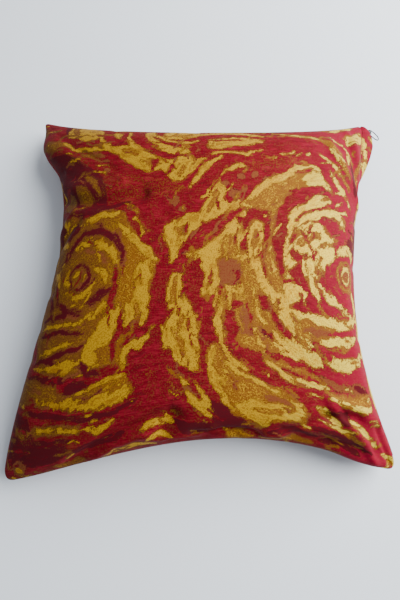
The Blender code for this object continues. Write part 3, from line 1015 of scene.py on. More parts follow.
@dataclass(frozen=True)
class SatinFinish:
    """The woven satin: its figure, its thread colours with some painted light and shade, and its
    sheen.

    Attributes:
        crimson: Ground.
        rose: Lighter slubs in the ground.
        wine: Shaded ground.
        rust: Dusty rust-coloured figure.
        ochre: Dull gold figure.
        umber: Brown specks in the ochre.
        gold: Bright figure.
        honey: Darker threads in the gold.
        highlight_gold: Painted highlight, the paler gold of the right rose, where the light falls.
        sheen_pink: Painted sheen, the pinker ground round the right rose, where the light from the
            right falls.
        shade_brown: Painted shade, the browner ochre and gold of the left rose, on the side away
            from the light.
        roughness: Roughness of the float threads.
        hearts: Middles of the two roses, in metres on the cloth.
    """

    crimson: Colour = linear(96, 8, 20)
    rose: Colour = linear(130, 26, 40)
    wine: Colour = linear(74, 17, 24)
    rust: Colour = linear(110, 62, 34)
    ochre: Colour = linear(118, 74, 24)
    umber: Colour = linear(64, 30, 12)
    gold: Colour = linear(173, 132, 25)
    honey: Colour = linear(140, 96, 23)
    highlight_gold: Colour = linear(206, 184, 66)
    sheen_pink: Colour = linear(136, 14, 46)
    shade_brown: Colour = linear(78, 44, 24)
    roughness: float = 0.50
    hearts: Places = ((-0.1400, -0.0100), (0.1626, -0.0100))

    def flow(self, bench: Bench, s: Term, t: Term, heart: tuple[float, float],
             round_about: float, outwards: float) -> bpy.types.NodeSocket:
        """Noise places that run round the heart of a rose.

        Args:
            bench: The finish's bench.
            s: Place on the cloth along X, in metres.
            t: Place on the cloth along Y, in metres.
            heart: The middle of the rose.
            round_about: How often the noise changes on the way round.
            outwards: How often it changes on the way out, for each metre.

        Returns:
            The vector to read noise at.
        """
        across, up = s - heart[0], t - heart[1]
        out = (across * across + up * up).root() + 0.0001
        return bench.vector(across / out * round_about, up / out * round_about, out * outwards)

    def both(self, bench: Bench, s: Term, t: Term, round_about: float, outwards: float,
             detail: float) -> Term:
        """Noise that runs round the nearer rose.

        Args:
            bench: The finish's bench.
            s: Place on the cloth along X, in metres.
            t: Place on the cloth along Y, in metres.
            round_about: How often the noise changes on the way round.
            outwards: How often it changes on the way out, for each metre.
            detail: The noise's detail.

        Returns:
            The noise.
        """
        left, right = (
            bench.noise(self.flow(bench, s, t, heart, round_about, outwards), 1.0, detail, 0.6)
            for heart in self.hearts
        )
        share = s.step(-0.07, -0.01)
        return left + (right - left) * share

    def threads(self, bench: Bench, rim: Term) -> Threads:
        """Lays out the unevenness of the threads.

        Args:
            bench: The finish's bench.
            rim: Distance from the nearest edge of a mark, in metres.

        Returns:
            The threads.
        """
        cloth = bench.add("ShaderNodeUVMap", {"uv_map": "cloth"}, {}).outputs["UV"]
        parts = bench.add("ShaderNodeSeparateXYZ", {}, {"Vector": cloth})
        s, t = bench.term(parts.outputs["X"]), bench.term(parts.outputs["Y"])
        thin = bench.noise(bench.vector(s * 110.0, t * 110.0, rim * 800.0 + 7.0), 1.0, 2.0, 0.6)
        grain = bench.noise(cloth, 760.0, 2.0, 0.6)
        spots = bench.noise(cloth, 430.0, 3.0, 0.65)
        return Threads(
            s=s,
            wide=bench.noise(bench.vector(s * 60.0, t * 60.0, rim * 330.0), 1.0, 3.0, 0.6),
            thin=thin,
            streak=self.both(bench, s, t, 12.0, 420.0, 3.0),
            teeth=self.both(bench, s, t, 50.0, 150.0, 2.0),
            grain=grain,
            spots=spots,
            slub=bench.noise(bench.vector(s * 90.0, t * 1300.0, 0.0), 1.0, 2.0, 0.6),
            brushed=bench.noise(bench.vector(s * 60.0, t * 230.0, 3.0), 1.0, 4.0, 0.65),
            etched=1.0 - thin.worked("ABSOLUTE", thin).step(0.03, 0.16),
            speckled=(grain * 0.9 + spots * 0.25).step(0.12, 0.42),
        )

    def ground(self, bench: Bench, on: Threads) -> bpy.types.NodeSocket:
        """The crimson ground, with its slubs, its shade, its dust and a painted sheen that makes
        its right side pinker.

        Args:
            bench: The finish's bench.
            on: The threads.

        Returns:
            The colour.
        """
        return bench.layered(
            self.crimson,
            ((on.slub * 0.5 + on.brushed * 0.5 + on.wide * 0.4).step(-0.3, 0.9) * 0.85, self.rose),
            ((on.spots * 0.3 + on.wide * 0.5 - on.brushed).step(0.2, 1.1) * 0.5, self.wine),
            ((on.spots * 0.5 + on.grain * 0.6 - on.wide * 0.5).step(0.2, 0.6) * 0.45, self.rust),
            # painted sheen: the ground turns pinker towards the right, where the light falls
            (on.s.step(0.08, 0.17) * 0.5, self.sheen_pink),
        )

    def dull(self, bench: Bench, on: Threads) -> bpy.types.NodeSocket:
        """The ochre, with gold threads, painted shade that makes its left side browner, and its
        dark specks.

        Args:
            bench: The finish's bench.
            on: The threads.

        Returns:
            The colour.
        """
        return bench.layered(
            self.ochre,
            ((on.thin * 0.5 + on.streak * 0.3 - on.grain * 0.7).step(0.15, 0.4) * 0.8, self.gold),
            # painted shade: the ochre turns browner towards the left, away from the light
            ((on.streak * 0.02 - on.s).step(0.06, 0.13) * 0.55, self.shade_brown),
            ((on.speckled + on.etched * 0.4).step(0.2, 1.0) * 0.36, self.umber),
        )

    def bright(self, bench: Bench, on: Threads) -> bpy.types.NodeSocket:
        """The gold, with darker threads, a painted highlight that makes its right side paler,
        painted shade that makes its left browner, and specks.

        Args:
            bench: The finish's bench.
            on: The threads.

        Returns:
            The colour.
        """
        return bench.layered(
            self.gold,
            ((on.wide * 0.7 + on.streak * 0.3).step(0.1, 0.5) * 0.8, self.honey),
            # painted highlight: the gold turns paler towards the right, where the light falls
            ((on.s + on.streak * 0.03).step(0.06, 0.15) * 0.6, self.highlight_gold),
            # painted shade: the gold turns a little browner towards the left, away from the light
            ((0.0 - on.s).step(0.04, 0.15) * 0.16, self.shade_brown),
            ((on.speckled * 0.8 + on.etched * 0.4).step(0.2, 0.9) * 0.5, self.umber),
        )

    def material(self) -> bpy.types.Material:
        """Builds the finish.

        Returns:
            The satin material.
        """
        made, bench = new_material("woven_satin")
        figure, fleck, rim = (bench.add("ShaderNodeAttribute", {"attribute_name": name}, {})
                              for name in ("figure", "speckle", "rim"))
        split = bench.add("ShaderNodeSeparateColor", {}, {"Color": figure.outputs["Color"]})
        wine, rust, ochre = (bench.term(split.outputs[k]) for k in range(3))
        gold = bench.term(figure.outputs["Alpha"])
        fleck, rim = bench.term(fleck.outputs["Fac"]), bench.term(rim.outputs["Fac"])
        on = self.threads(bench, rim)
        near = (rim * -1.0).step(-0.011, -0.001)
        loose = fleck * 0.75 + 0.12
        under = gold + ochre
        figured = (under * 3.0).step(0.0, 1.0)
        ragged = figured + loose - figured * loose
        edge = on.streak * 0.18 + on.teeth * 0.14 + on.grain * 0.30
        other = on.grain * 0.34 - on.spots * 0.24 - on.teeth * 0.14 + on.streak * 0.10
        at_gold = gold + edge * ragged + (on.wide * 0.22 + on.thin * 0.28) * near - 0.04
        at_ochre = (under + other * ragged + fleck * (on.spots * 0.6 + on.grain * 0.6 + 0.10)
                    + (on.wide * 0.3 - on.thin * 0.4) * near + 0.02)
        at_rust = under + rust + on.spots * 0.3 + edge * 0.3
        at_wine = under + rust + wine + on.brushed * 0.3 + edge * 0.4
        shade = bench.layered(
            self.wine, ((on.brushed + on.spots * 0.5).step(0.1, 0.9) * 0.5, self.crimson))
        dusty = bench.layered(self.rust, (on.speckled * 0.5, self.crimson))
        colour = bench.layered(
            self.ground(bench, on),
            (at_wine.step(0.42, 0.58), shade),
            (at_rust.step(0.44, 0.56), dusty),
            (at_ochre.step(0.46, 0.54), self.dull(bench, on)),
            (at_gold.step(0.20, 0.40) * 0.65, self.umber),
            (at_gold.step(0.46, 0.54), self.bright(bench, on)),
        )
        weave = on.slub * 0.3 + at_gold.step(0.40, 0.60) * 0.5 + on.grain * 0.15
        bump = bench.add("ShaderNodeBump", {},
                         {"Strength": 0.3, "Distance": 0.0004, "Height": weave})
        shine = at_gold.step(0.4, 0.6)
        bench.dressed({
            "Base Color": colour,
            "Roughness": shine * -0.05 + on.slub * 0.02 + self.roughness,
            "Metallic": shine * 0.15,
            "Specular IOR Level": 0.015,
            "Normal": bump.outputs["Normal"],
        })
        return made


@dataclass(frozen=True)
class PlainFinish:
    """A plain thread, tape or metal with a little unevenness.

    Attributes:
        name: The finish's name.
        colour: Its colour.
        other: The colour of its darker spots.
        roughness: Its roughness.
        metallic: 1 for metal, 0 for thread.
        scale: How fine its spots are.
    """

    name: str
    colour: Colour
    other: Colour
    roughness: float
    metallic: float
    scale: float

    def material(self) -> bpy.types.Material:
        """Builds the finish.

        Returns:
            The material.
        """
        made, bench = new_material(self.name)
        place = bench.add("ShaderNodeTexCoord", {}, {}).outputs["Object"]
        spots = bench.noise(place, self.scale, 3.0, 0.6)
        bump = bench.add("ShaderNodeBump", {},
                         {"Strength": 0.25, "Distance": 0.0002, "Height": spots})
        bench.dressed({
            "Base Color": bench.layered(self.colour, (spots.step(-0.2, 0.9), self.other)),
            "Roughness": spots * 0.06 + self.roughness,
            "Metallic": self.metallic,
            "Normal": bump.outputs["Normal"],
        })
        return made


@dataclass(frozen=True)
class Corner:
    """A sewn corner of the cover.

    Attributes:
        s: Its place along X, -1 or 1.
        t: Its place along Y, -1 or 1.
        x: Where it lies along X, in metres.
        y: Where it lies along Y, in metres.
    """

    s: int
    t: int
    x: float
    y: float


@dataclass(frozen=True)
class Side:
    """A side drawn in between its corners.

    Attributes:
        depth: How deep it is drawn in, in metres.
        lean: How far its deepest place is off the middle.
        full_at: Where one of its ears is fuller.
        fullness: How much fuller, in metres.
        power: How slowly it comes in beside its ears.
    """

    depth: float
    lean: float
    full_at: float = 0.0
    fullness: float = 0.0
    power: float = 1.36


@dataclass(frozen=True)
class Fold:
    """A soft fold of a panel.

    Attributes:
        s0: Start along X.
        t0: Start along Y.
        s1: End along X.
        t1: End along Y.
        bow: How far it bows to the left, in mm.
        height: Its height, below 0 for a trough, in mm.
        width: Its half width in mm.
    """

    s0: float
    t0: float
    s1: float
    t1: float
    bow: float
    height: float
    width: float


@dataclass(frozen=True)
class Pucker:
    """A short pleat that starts at a seam.

    Attributes:
        edge: The seam.
        at: Its place along the seam.
        reach: How far it reaches inwards, in mm.
        depth: Its depth, in mm.
    """

    edge: Edge
    at: float
    reach: float
    depth: float


CORNERS = (
    Corner(-1, -1, -0.2012, -0.2026),
    Corner(1, -1, 0.1950, -0.1937),
    Corner(-1, 1, -0.1960, 0.2085),
    Corner(1, 1, 0.1960, 0.2080),
)

SIDES = {
    Edge.LEFT: Side(0.0427, 0.204, 0.76, 0.0130),
    Edge.RIGHT: Side(0.0380, -0.142),
    Edge.NEAR: Side(0.0372, 0.106, 0.80, 0.0030),
    Edge.FAR: Side(0.0365, -0.003, power=0.92),
}

FRONT_FOLDS = (
    Fold(-0.96, 0.40, -0.38, 0.38, -9.0, -4.8, 7.0),
    Fold(-0.92, 0.47, -0.50, 0.45, -6.0, 2.0, 8.0),
    Fold(-0.97, 0.10, -0.76, 0.25, 0.0, -2.6, 5.0),
    Fold(-0.97, 0.19, -0.80, 0.31, 0.0, 1.6, 5.0),
    Fold(-0.62, -0.97, -0.13, -0.75, 5.0, -4.0, 7.0),
    Fold(-0.52, -0.98, -0.20, -0.84, 4.0, 2.4, 5.0),
    Fold(-0.17, -0.85, -0.11, -0.78, 0.0, -4.8, 9.0),
    Fold(-0.24, -0.88, 0.05, -0.87, -9.0, 2.2, 6.5),
    Fold(-0.14, -0.95, 0.02, -0.95, -4.0, -2.4, 6.5),
    Fold(-0.03, -0.90, 0.26, -0.93, 3.0, -4.0, 5.0),
    Fold(0.00, -0.97, 0.22, -0.97, 0.0, 1.8, 6.0),
    Fold(0.28, -0.93, 0.36, -0.92, 0.0, 3.0, 6.0),
    Fold(0.38, -0.87, 0.62, -0.74, -3.0, -3.0, 6.0),
    Fold(0.45, -0.93, 0.84, -0.91, 0.0, -4.5, 11.0),
    Fold(0.86, -0.99, 0.64, -0.72, -7.0, 4.2, 7.0),
    Fold(0.62, -0.75, 0.78, -0.71, 0.0, -3.6, 6.0),
    Fold(0.64, -0.66, 0.92, -0.74, 4.0, 3.6, 8.0),
    Fold(0.90, -0.76, 0.96, -0.95, 0.0, -2.6, 5.0),
    Fold(0.70, 0.78, 0.95, 0.36, -8.0, 2.6, 7.0),
    Fold(0.84, 0.80, 0.97, 0.42, -3.0, -3.2, 6.5),
    Fold(0.84, 0.90, 0.93, 0.62, 4.0, 1.6, 5.5),
)

BACK_FOLDS = (
    Fold(-0.88, -0.90, -0.60, -0.62, 0.0, -2.5, 8.0),
    Fold(0.90, -0.86, 0.62, -0.64, 3.0, -2.5, 8.0),
    Fold(-0.88, 0.88, -0.64, 0.60, 3.0, -2.5, 8.0),
    Fold(0.86, 0.90, 0.60, 0.66, 0.0, -2.5, 8.0),
)

PUCKERS = (
    Pucker(Edge.LEFT, -0.42, 18.0, 1.8),
    Pucker(Edge.LEFT, -0.27, 14.0, 1.4),
    Pucker(Edge.LEFT, -0.10, 22.0, 2.0),
    Pucker(Edge.LEFT, 0.58, 16.0, 1.5),
    Pucker(Edge.NEAR, -0.40, 14.0, 1.5),
    Pucker(Edge.NEAR, 0.16, 12.0, 1.4),
    Pucker(Edge.NEAR, 0.62, 16.0, 1.6),
    Pucker(Edge.RIGHT, -0.34, 15.0, 1.4),
    Pucker(Edge.RIGHT, 0.02, 20.0, 1.7),
    Pucker(Edge.RIGHT, 0.26, 14.0, 1.4),
    Pucker(Edge.FAR, -0.50, 15.0, 1.4),
    Pucker(Edge.FAR, -0.06, 20.0, 1.7),
    Pucker(Edge.FAR, 0.34, 15.0, 1.5),
)


@dataclass(frozen=True)
class CushionShape:
    """The filled shape of the cushion, by rule.

    Attributes:
        half_panel: Half the side of the flat cover.
        corner_z: Height of the seam at the corners.
        seam_rise: How much higher the seam runs halfway along a side.
        crown: Height of the front panel's crown over the seam.
        belly: Depth of the back panel's crown before it rests.
        flatten: How far the resting patch is pressed flat.
        rest_softness: How softly the belly turns into the resting patch.
        swell: How much the filling spreads a panel over its seams.
        far_rounding: Rounded share of each half side at the far corners.
        near_rounding: The same at the near corners.
        edge_row: Last row of points before the seam.
        row_curve: Share of the row spacing that tightens towards the seams.
        ear_spread: How far a fuller ear reaches along its side.
        pleat_width: Half width of a seam's puckers, in mm.
        seam_fade: Distance from the seam over which the folds fade out.
    """

    half_panel: float = 0.2032
    corner_z: float = 0.020
    seam_rise: float = 0.020
    crown: float = 0.063
    belly: float = 0.060
    flatten: float = 0.0010
    rest_softness: float = 0.006
    swell: float = 0.12
    far_rounding: float = 0.035
    near_rounding: float = 0.07
    edge_row: float = 0.985
    row_curve: float = 0.25
    ear_spread: float = 0.13
    pleat_width: float = 4.5
    seam_fade: float = 0.006

    def draw_in(self, w: np.ndarray, edge: Edge) -> np.ndarray:
        """How far a drawn-in side has come in.

        Args:
            w: Places along the side.
            edge: Which side.

        Returns:
            Distances from the line between its corners.
        """
        side = SIDES[edge]
        eased = w - side.lean * (1.0 - w * w)
        ear = np.exp(-((w - side.full_at) / self.ear_spread) ** 2)
        fuller = side.fullness * ear * (1.0 - w ** 8)
        drawn = side.depth * np.clip(1.0 - eased * eased, 0.0, 1.0) ** side.power
        return drawn - fuller

    def rounded(self, s: np.ndarray, t: np.ndarray) -> tuple[np.ndarray, np.ndarray]:
        """Pulls the grid in at the sewn corners.

        Args:
            s: Places along X.
            t: Places along Y.

        Returns:
            The places after rounding.
        """
        share = np.where(t < 0.0, self.near_rounding, self.far_rounding)
        start = 1.0 - share
        across = np.clip((np.abs(s) - start) / share, 0.0, 1.0)
        up = np.clip((np.abs(t) - start) / share, 0.0, 1.0)
        round_s = np.sign(s) * (start + share * across * np.sqrt(1.0 - up * up / 2.0))
        round_t = np.sign(t) * (start + share * up * np.sqrt(1.0 - across ** 2 / 2.0))
        return np.where(across > 0.0, round_s, s), np.where(up > 0.0, round_t, t)

    def settled(self, z: np.ndarray) -> np.ndarray:
        """A height that turns softly into the floor."""
        return 0.5 * (z + np.sqrt(z * z + self.rest_softness ** 2))

    def point(self, s: np.ndarray, t: np.ndarray, panel: Panel) -> np.ndarray:
        """The smooth filled shape.

        Args:
            s: Places along X.
            t: Places along Y.
            panel: Which panel.

        Returns:
            Points, with x, y and z as the last axis.
        """
        rs, rt = self.rounded(s, t)
        x = sum((1 + c.s * rs) * (1 + c.t * rt) / 4 * c.x for c in CORNERS)
        y = sum((1 + c.s * rs) * (1 + c.t * rt) / 4 * c.y for c in CORNERS)
        right, far = (1.0 + rs) / 2.0, (1.0 + rt) / 2.0
        x = x + (1.0 - right) * self.draw_in(rt, Edge.LEFT) - right * self.draw_in(rt, Edge.RIGHT)
        y = y + (1.0 - far) * self.draw_in(rs, Edge.NEAR) - far * self.draw_in(rs, Edge.FAR)
        x, y = x * self.spread(rt, rs), y * self.spread(rs, rt)
        dome = np.sqrt(np.clip((1.0 - s * s) * (1.0 - t * t), 0.0, 1.0))
        seam = self.corner_z + self.seam_rise * np.maximum(1.0 - s * s, 1.0 - t * t)
        front = self.settled(seam) + self.crown * dome
        z = front if panel is Panel.FRONT else self.settled(seam - self.belly * dome)
        return np.stack((x, y, z), axis=-1)

    def spread(self, along: np.ndarray, across: np.ndarray) -> np.ndarray:
        """How many times wider the filling makes a panel, most of all halfway along a side."""
        round_side = np.sqrt(np.clip(1 - along * along, 0, 1))
        return 1.0 + self.swell * round_side * (1 - np.abs(across) ** 5)

    def rows(self, cells: int) -> np.ndarray:
        """Places of the rows of points along a panel, closer together towards the seams."""
        even = np.linspace(-1.0, 1.0, cells - 1)
        eased = self.row_curve * np.sin(even * math.pi / 2.0) + (1.0 - self.row_curve) * even
        return np.concatenate(([-1.0], self.edge_row * eased, [1.0]))

    def pucker_fold(self, pucker: Pucker) -> Fold:
        """The short fold that a pucker makes, from its seam inwards.

        Args:
            pucker: The pucker.

        Returns:
            The fold.
        """
        out, at = 0.99, pucker.at
        inner, inwards = out - pucker.reach * MM / self.half_panel, at * 0.97
        ends = {
            Edge.LEFT: (-out, at, -inner, inwards),
            Edge.RIGHT: (out, at, inner, inwards),
            Edge.NEAR: (at, -out, inwards, -inner),
            Edge.FAR: (at, out, inwards, inner),
        }
        return Fold(*ends[pucker.edge], 0.0, -pucker.depth, self.pleat_width)

    def fold_height(self, s: np.ndarray, t: np.ndarray, fold: Fold) -> np.ndarray:
        """Height that one fold adds, as a soft ridge or trough along its line.

        Args:
            s: Places along X.
            t: Places along Y.
            fold: The fold.

        Returns:
            Heights in metres.
        """
        start = np.array((fold.s0, fold.t0)) * self.half_panel
        run = np.array((fold.s1, fold.t1)) * self.half_panel - start
        length = float(np.hypot(*run))
        along_x, along_y = run / length
        dx, dy = s * self.half_panel - start[0], t * self.half_panel - start[1]
        along = dx * along_x + dy * along_y
        share = np.clip(along / length, 0.0, 1.0)
        aside = -dx * along_y + dy * along_x - fold.bow * MM * 4.0 * share * (1.0 - share)
        beyond = along - share * length
        width = fold.width * MM
        return fold.height * MM * np.exp(-(aside ** 2 + beyond ** 2) / width ** 2)

    def relief(self, s: np.ndarray, t: np.ndarray, folds: Sequence[Fold]) -> np.ndarray:
        """All the folds of one panel, fading out at the seam.

        Args:
            s: Places along X.
            t: Places along Y.
            folds: The panel's folds.

        Returns:
            Heights along the surface's normal, in metres.
        """
        every = [*folds, *(self.pucker_fold(pucker) for pucker in PUCKERS)]
        height = sum(self.fold_height(s, t, fold) for fold in every)
        inset = self.half_panel * (1.0 - np.maximum(np.abs(s), np.abs(t)))
        return height * (1.0 - np.exp(-((inset / self.seam_fade) ** 2)))


def refined(grid: np.ndarray) -> np.ndarray:
    """Doubles the steps of a grid of values by a smooth rule.

    Args:
        grid: Values on a square grid, first two axes.

    Returns:
        The finer grid.
    """
    for axis in (0, 1):
        rows = np.moveaxis(grid, axis, 0)
        longer = np.concatenate((2 * rows[:1] - rows[1:2], rows, 2 * rows[-1:] - rows[-2:-1]))
        middle = (9.0 * (longer[1:-2] + longer[2:-1]) - longer[:-3] - longer[3:]) / 16.0
        finer = np.empty((2 * len(rows) - 1, *rows.shape[1:]))
        finer[::2], finer[1::2] = rows, middle
        grid = np.moveaxis(finer, 0, axis)
    return grid


def grid_faces(index: np.ndarray) -> np.ndarray:
    """Four-cornered faces between the points of a grid, facing up where X and Y are its axes."""
    corners = (index[:-1, :-1], index[1:, :-1], index[1:, 1:], index[:-1, 1:])
    return np.stack(corners, axis=-1).reshape(-1, 4)


def mesh_of(name: str, points: np.ndarray, faces: np.ndarray) -> bpy.types.Mesh:
    """Makes a smooth-shaded mesh.

    Args:
        name: Its name.
        points: Its points.
        faces: Its faces, four corners each.

    Returns:
        The mesh.
    """
    mesh = bpy.data.meshes.new(name)
    mesh.from_pydata(points.tolist(), [], faces.tolist())
    mesh.update()
    mesh.shade_smooth()
    return mesh


def linked(name: str, data: bpy.types.ID, *finishes: bpy.types.Material) -> bpy.types.Object:
    """Puts data into the scene as an object at the origin, with the finishes of a new piece.

    Args:
        name: The object's name.
        data: Its mesh, light, camera or curve.
        *finishes: Materials to add to its mesh.

    Returns:
        The object.
    """
    for finish in finishes:
        data.materials.append(finish)
    made = bpy.data.objects.new(name, data)
    bpy.context.scene.collection.objects.link(made)
    return made


def plain_mesh(holder: bpy.types.Object, name: str) -> bpy.types.Mesh:
    """Turns an object with its modifiers into a plain mesh, and removes the object.

    Args:
        holder: The object.
        name: The mesh's name.

    Returns:
        The mesh.
    """
    graph = bpy.context.evaluated_depsgraph_get()
    mesh = bpy.data.meshes.new_from_object(holder.evaluated_get(graph))
    bpy.data.objects.remove(holder, do_unlink=True)
    mesh.name = name
    return mesh


def closed_panels(s: np.ndarray, t: np.ndarray) -> tuple[np.ndarray, np.ndarray, np.ndarray]:
    """Numbers the points of both panels, which share their rim, and joins them with faces.

    Args:
        s: Places along X.
        t: Places along Y.

    Returns:
        The numbers of the front and of the back panel, and the faces.
    """
    count = len(s)
    front = np.arange(s.size).reshape(s.shape)
    back = front.copy()
    back[1:-1, 1:-1] = s.size + np.arange((count - 2) ** 2).reshape(count - 2, count - 2)
    return front, back, np.concatenate((grid_faces(front), grid_faces(back)[:, ::-1]))


def pooled(front: np.ndarray, back: np.ndarray) -> np.ndarray:
    """The front panel's rows and the back panel's inner ones, in the order of their numbers."""
    last = front.shape[-1]
    return np.concatenate((front.reshape(-1, last), back[1:-1, 1:-1].reshape(-1, last)))


@dataclass
class FilledCover:
    """The two panels of the cover, sewn together, filled and settled as cloth.

    Attributes:
        shape: The filled shape.
        pattern: The woven figure.
        cells: Steps along each side of a panel while the cloth settles.
        steps: Frames that the cloth settles for.
        pressure: Pressure of the filling.
        reach: The farthest that a point may settle, in metres.
        groove: Depth of the crease at the seam.
    """

    shape: CushionShape = field(default_factory=CushionShape)
    pattern: CoverPattern = field(default_factory=CoverPattern)
    cells: int = 110
    steps: int = 12
    pressure: float = 2.0
    reach: float = 0.008
    groove: float = 0.0018

    def build(self, satin: bpy.types.Material) -> bpy.types.Object:
        """Makes the finished cover.

        Args:
            satin: Its finish.

        Returns:
            The cover.
        """
        rows = self.shape.rows(self.cells)
        s, t = np.meshgrid(rows, rows, indexing="ij")
        panels = [self.shape.point(s, t, panel) for panel in Panel]
        drift = self.settle(s, t, panels)
        fine_s, fine_t = (np.clip(refined(places), -1.0, 1.0) for places in (s, t))
        shaped = []
        for panel, moved, folds in zip(Panel, drift, (FRONT_FOLDS, BACK_FOLDS)):
            points = self.shape.point(fine_s, fine_t, panel) + refined(moved)
            shaped.append(self.folded(points, fine_s, fine_t, panel, folds))
        shaped[1][0], shaped[1][-1] = shaped[0][0], shaped[0][-1]
        shaped[1][:, 0], shaped[1][:, -1] = shaped[0][:, 0], shaped[0][:, -1]
        lowest = min(float(points[..., 2].min()) for points in shaped)
        for points in shaped:
            points[..., 2] = np.maximum(points[..., 2] - lowest - self.shape.flatten, 0.0)
        return self.sewn(shaped, fine_s, fine_t, satin)

    def folded(self, points: np.ndarray, s: np.ndarray, t: np.ndarray, panel: Panel,
               folds: Sequence[Fold]) -> np.ndarray:
        """Lays the folds into a panel and draws its rim into the seam.

        Args:
            points: The panel's points.
            s: Places along X.
            t: Places along Y.
            panel: Which panel.
            folds: Its folds.

        Returns:
            The moved points.
        """
        normal = np.cross(np.gradient(points, axis=0), np.gradient(points, axis=1))
        normal /= np.linalg.norm(normal, axis=-1, keepdims=True) + TINY
        if panel is Panel.BACK:
            normal = -normal
        moved = points + normal * self.shape.relief(s, t, folds)[..., None]
        rim = np.maximum(np.abs(s), np.abs(t)) > ON_RIM
        level = points * (1.0, 1.0, 0.0)
        level /= np.linalg.norm(level, axis=-1, keepdims=True) + TINY
        return np.where(rim[..., None], points - level * self.groove, moved)

    def settle(self, s: np.ndarray, t: np.ndarray, panels: Sequence[np.ndarray]) -> list:
        """Lets the filled cover settle as cloth that was cut flat.

        Args:
            s: Places along X.
            t: Places along Y.
            panels: The filled shape of both panels.

        Returns:
            How far each point of each panel has moved.
        """
        front, back, faces = closed_panels(s, t)
        points = pooled(*panels)
        flat = np.stack((s * self.shape.half_panel, t * self.shape.half_panel, s * 0.0), axis=-1)
        cut = pooled(flat, flat)
        cloth = linked("settling", mesh_of("settling", points, faces))
        cloth.shape_key_add(name="filled", from_mix=False)
        key = cloth.shape_key_add(name="cut", from_mix=False)
        key.data.foreach_set("co", cut.astype(np.float32).ravel())
        key.value = 0.0
        square = np.array(((-1.0, -1.0, 0.0), (1.0, -1.0, 0.0), (1.0, 1.0, 0.0), (-1.0, 1.0, 0.0)))
        floor = linked("settling_floor", mesh_of("settling_floor", square,
                                                 np.array(((0, 1, 2, 3),))))
        floor.modifiers.new("floor", "COLLISION")
        floor.collision.thickness_outer = 0.001
        floor.collision.cloth_friction = 20.0
        modifier = cloth.modifiers.new("cover", "CLOTH")
        fabric = modifier.settings
        settings = {
            "rest_shape_key": key, "quality": 6, "mass": 0.3, "tension_stiffness": 40.0,
            "compression_stiffness": 40.0, "shear_stiffness": 12.0, "bending_stiffness": 0.3,
            "use_pressure": True, "uniform_pressure_force": self.pressure, "air_damping": 2.0,
        }
        for name, value in settings.items():
            setattr(fabric, name, value)
        fabric.effector_weights.gravity = 0.0
        modifier.collision_settings.distance_min = 0.001
        modifier.collision_settings.use_self_collision = False
        modifier.point_cache.frame_start = 1
        modifier.point_cache.frame_end = self.steps
        for frame_number in range(1, self.steps + 1):
            bpy.context.scene.frame_set(frame_number)
        done = cloth.evaluated_get(bpy.context.evaluated_depsgraph_get()).data
        settled = np.empty(len(done.vertices) * 3, np.float32)
        done.vertices.foreach_get("co", settled)
        moved = settled.reshape(-1, 3) - points
        for left_over in (cloth, floor):
            bpy.data.objects.remove(left_over, do_unlink=True)
        bpy.context.scene.frame_set(1)
        far = np.linalg.norm(moved, axis=1, keepdims=True)
        LOG.info("cover settled by %.1f mm at most", float(far.max()) / MM)
        moved *= self.reach * np.tanh(far / self.reach) / np.maximum(far, STILL)
        return [moved[front], moved[back]]

    def sewn(self, shaped: Sequence[np.ndarray], s: np.ndarray, t: np.ndarray,
             satin: bpy.types.Material) -> bpy.types.Object:
        """Joins the panels into one closed cover and weaves the figure into it.

        Args:
            shaped: The points of both panels.
            s: Places along X.
            t: Places along Y.
            satin: The finish.

        Returns:
            The cover.
        """
        back, faces = closed_panels(s, t)[1:]
        points = pooled(*shaped)
        mesh = mesh_of("cushion_cover", points, faces)
        place = np.stack((s, t), axis=-1)
        turned = place * (-1.0, 1.0)
        self.pattern.woven(*pooled(place, turned).T).store(mesh, self.shape.half_panel)
        under = np.empty((len(points), 2))
        under[back.ravel()] = turned.reshape(-1, 2)
        over, below = np.split(faces, 2)
        corners = np.concatenate((place.reshape(-1, 2)[over], under[below]))
        store_cloth_map(mesh, corners * self.shape.half_panel)
        cover = linked("cushion_cover", mesh, satin)
        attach(cover, "root")
        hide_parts("cushion")
        return cover


@dataclass(frozen=True)
class LapRow:
    """The zip's lap at one place along the seam.

    Attributes:
        t: The place.
        width: The lap's width, in mm.
        droop: How steeply it hangs, in degrees.
    """

    t: float
    width: float
    droop: float


LAP_ROWS = (
    LapRow(-0.92, 8.0, 68.0),
    LapRow(-0.86, 15.0, 67.0),
    LapRow(-0.72, 17.0, 70.0),
    LapRow(-0.55, 17.0, 77.0),
    LapRow(-0.30, 17.0, 82.0),
    LapRow(0.25, 17.0, 82.0),
    LapRow(0.50, 17.0, 76.0),
    LapRow(0.62, 17.0, 62.0),
    LapRow(0.70, 17.5, 44.0),
    LapRow(0.78, 18.0, 28.0),
    LapRow(0.86, 18.0, 15.0),
    LapRow(0.92, 16.0, 13.0),
    LapRow(0.955, 13.0, 12.0),
    LapRow(0.980, 8.5, 12.0),
    LapRow(0.995, 3.5, 12.0),
)


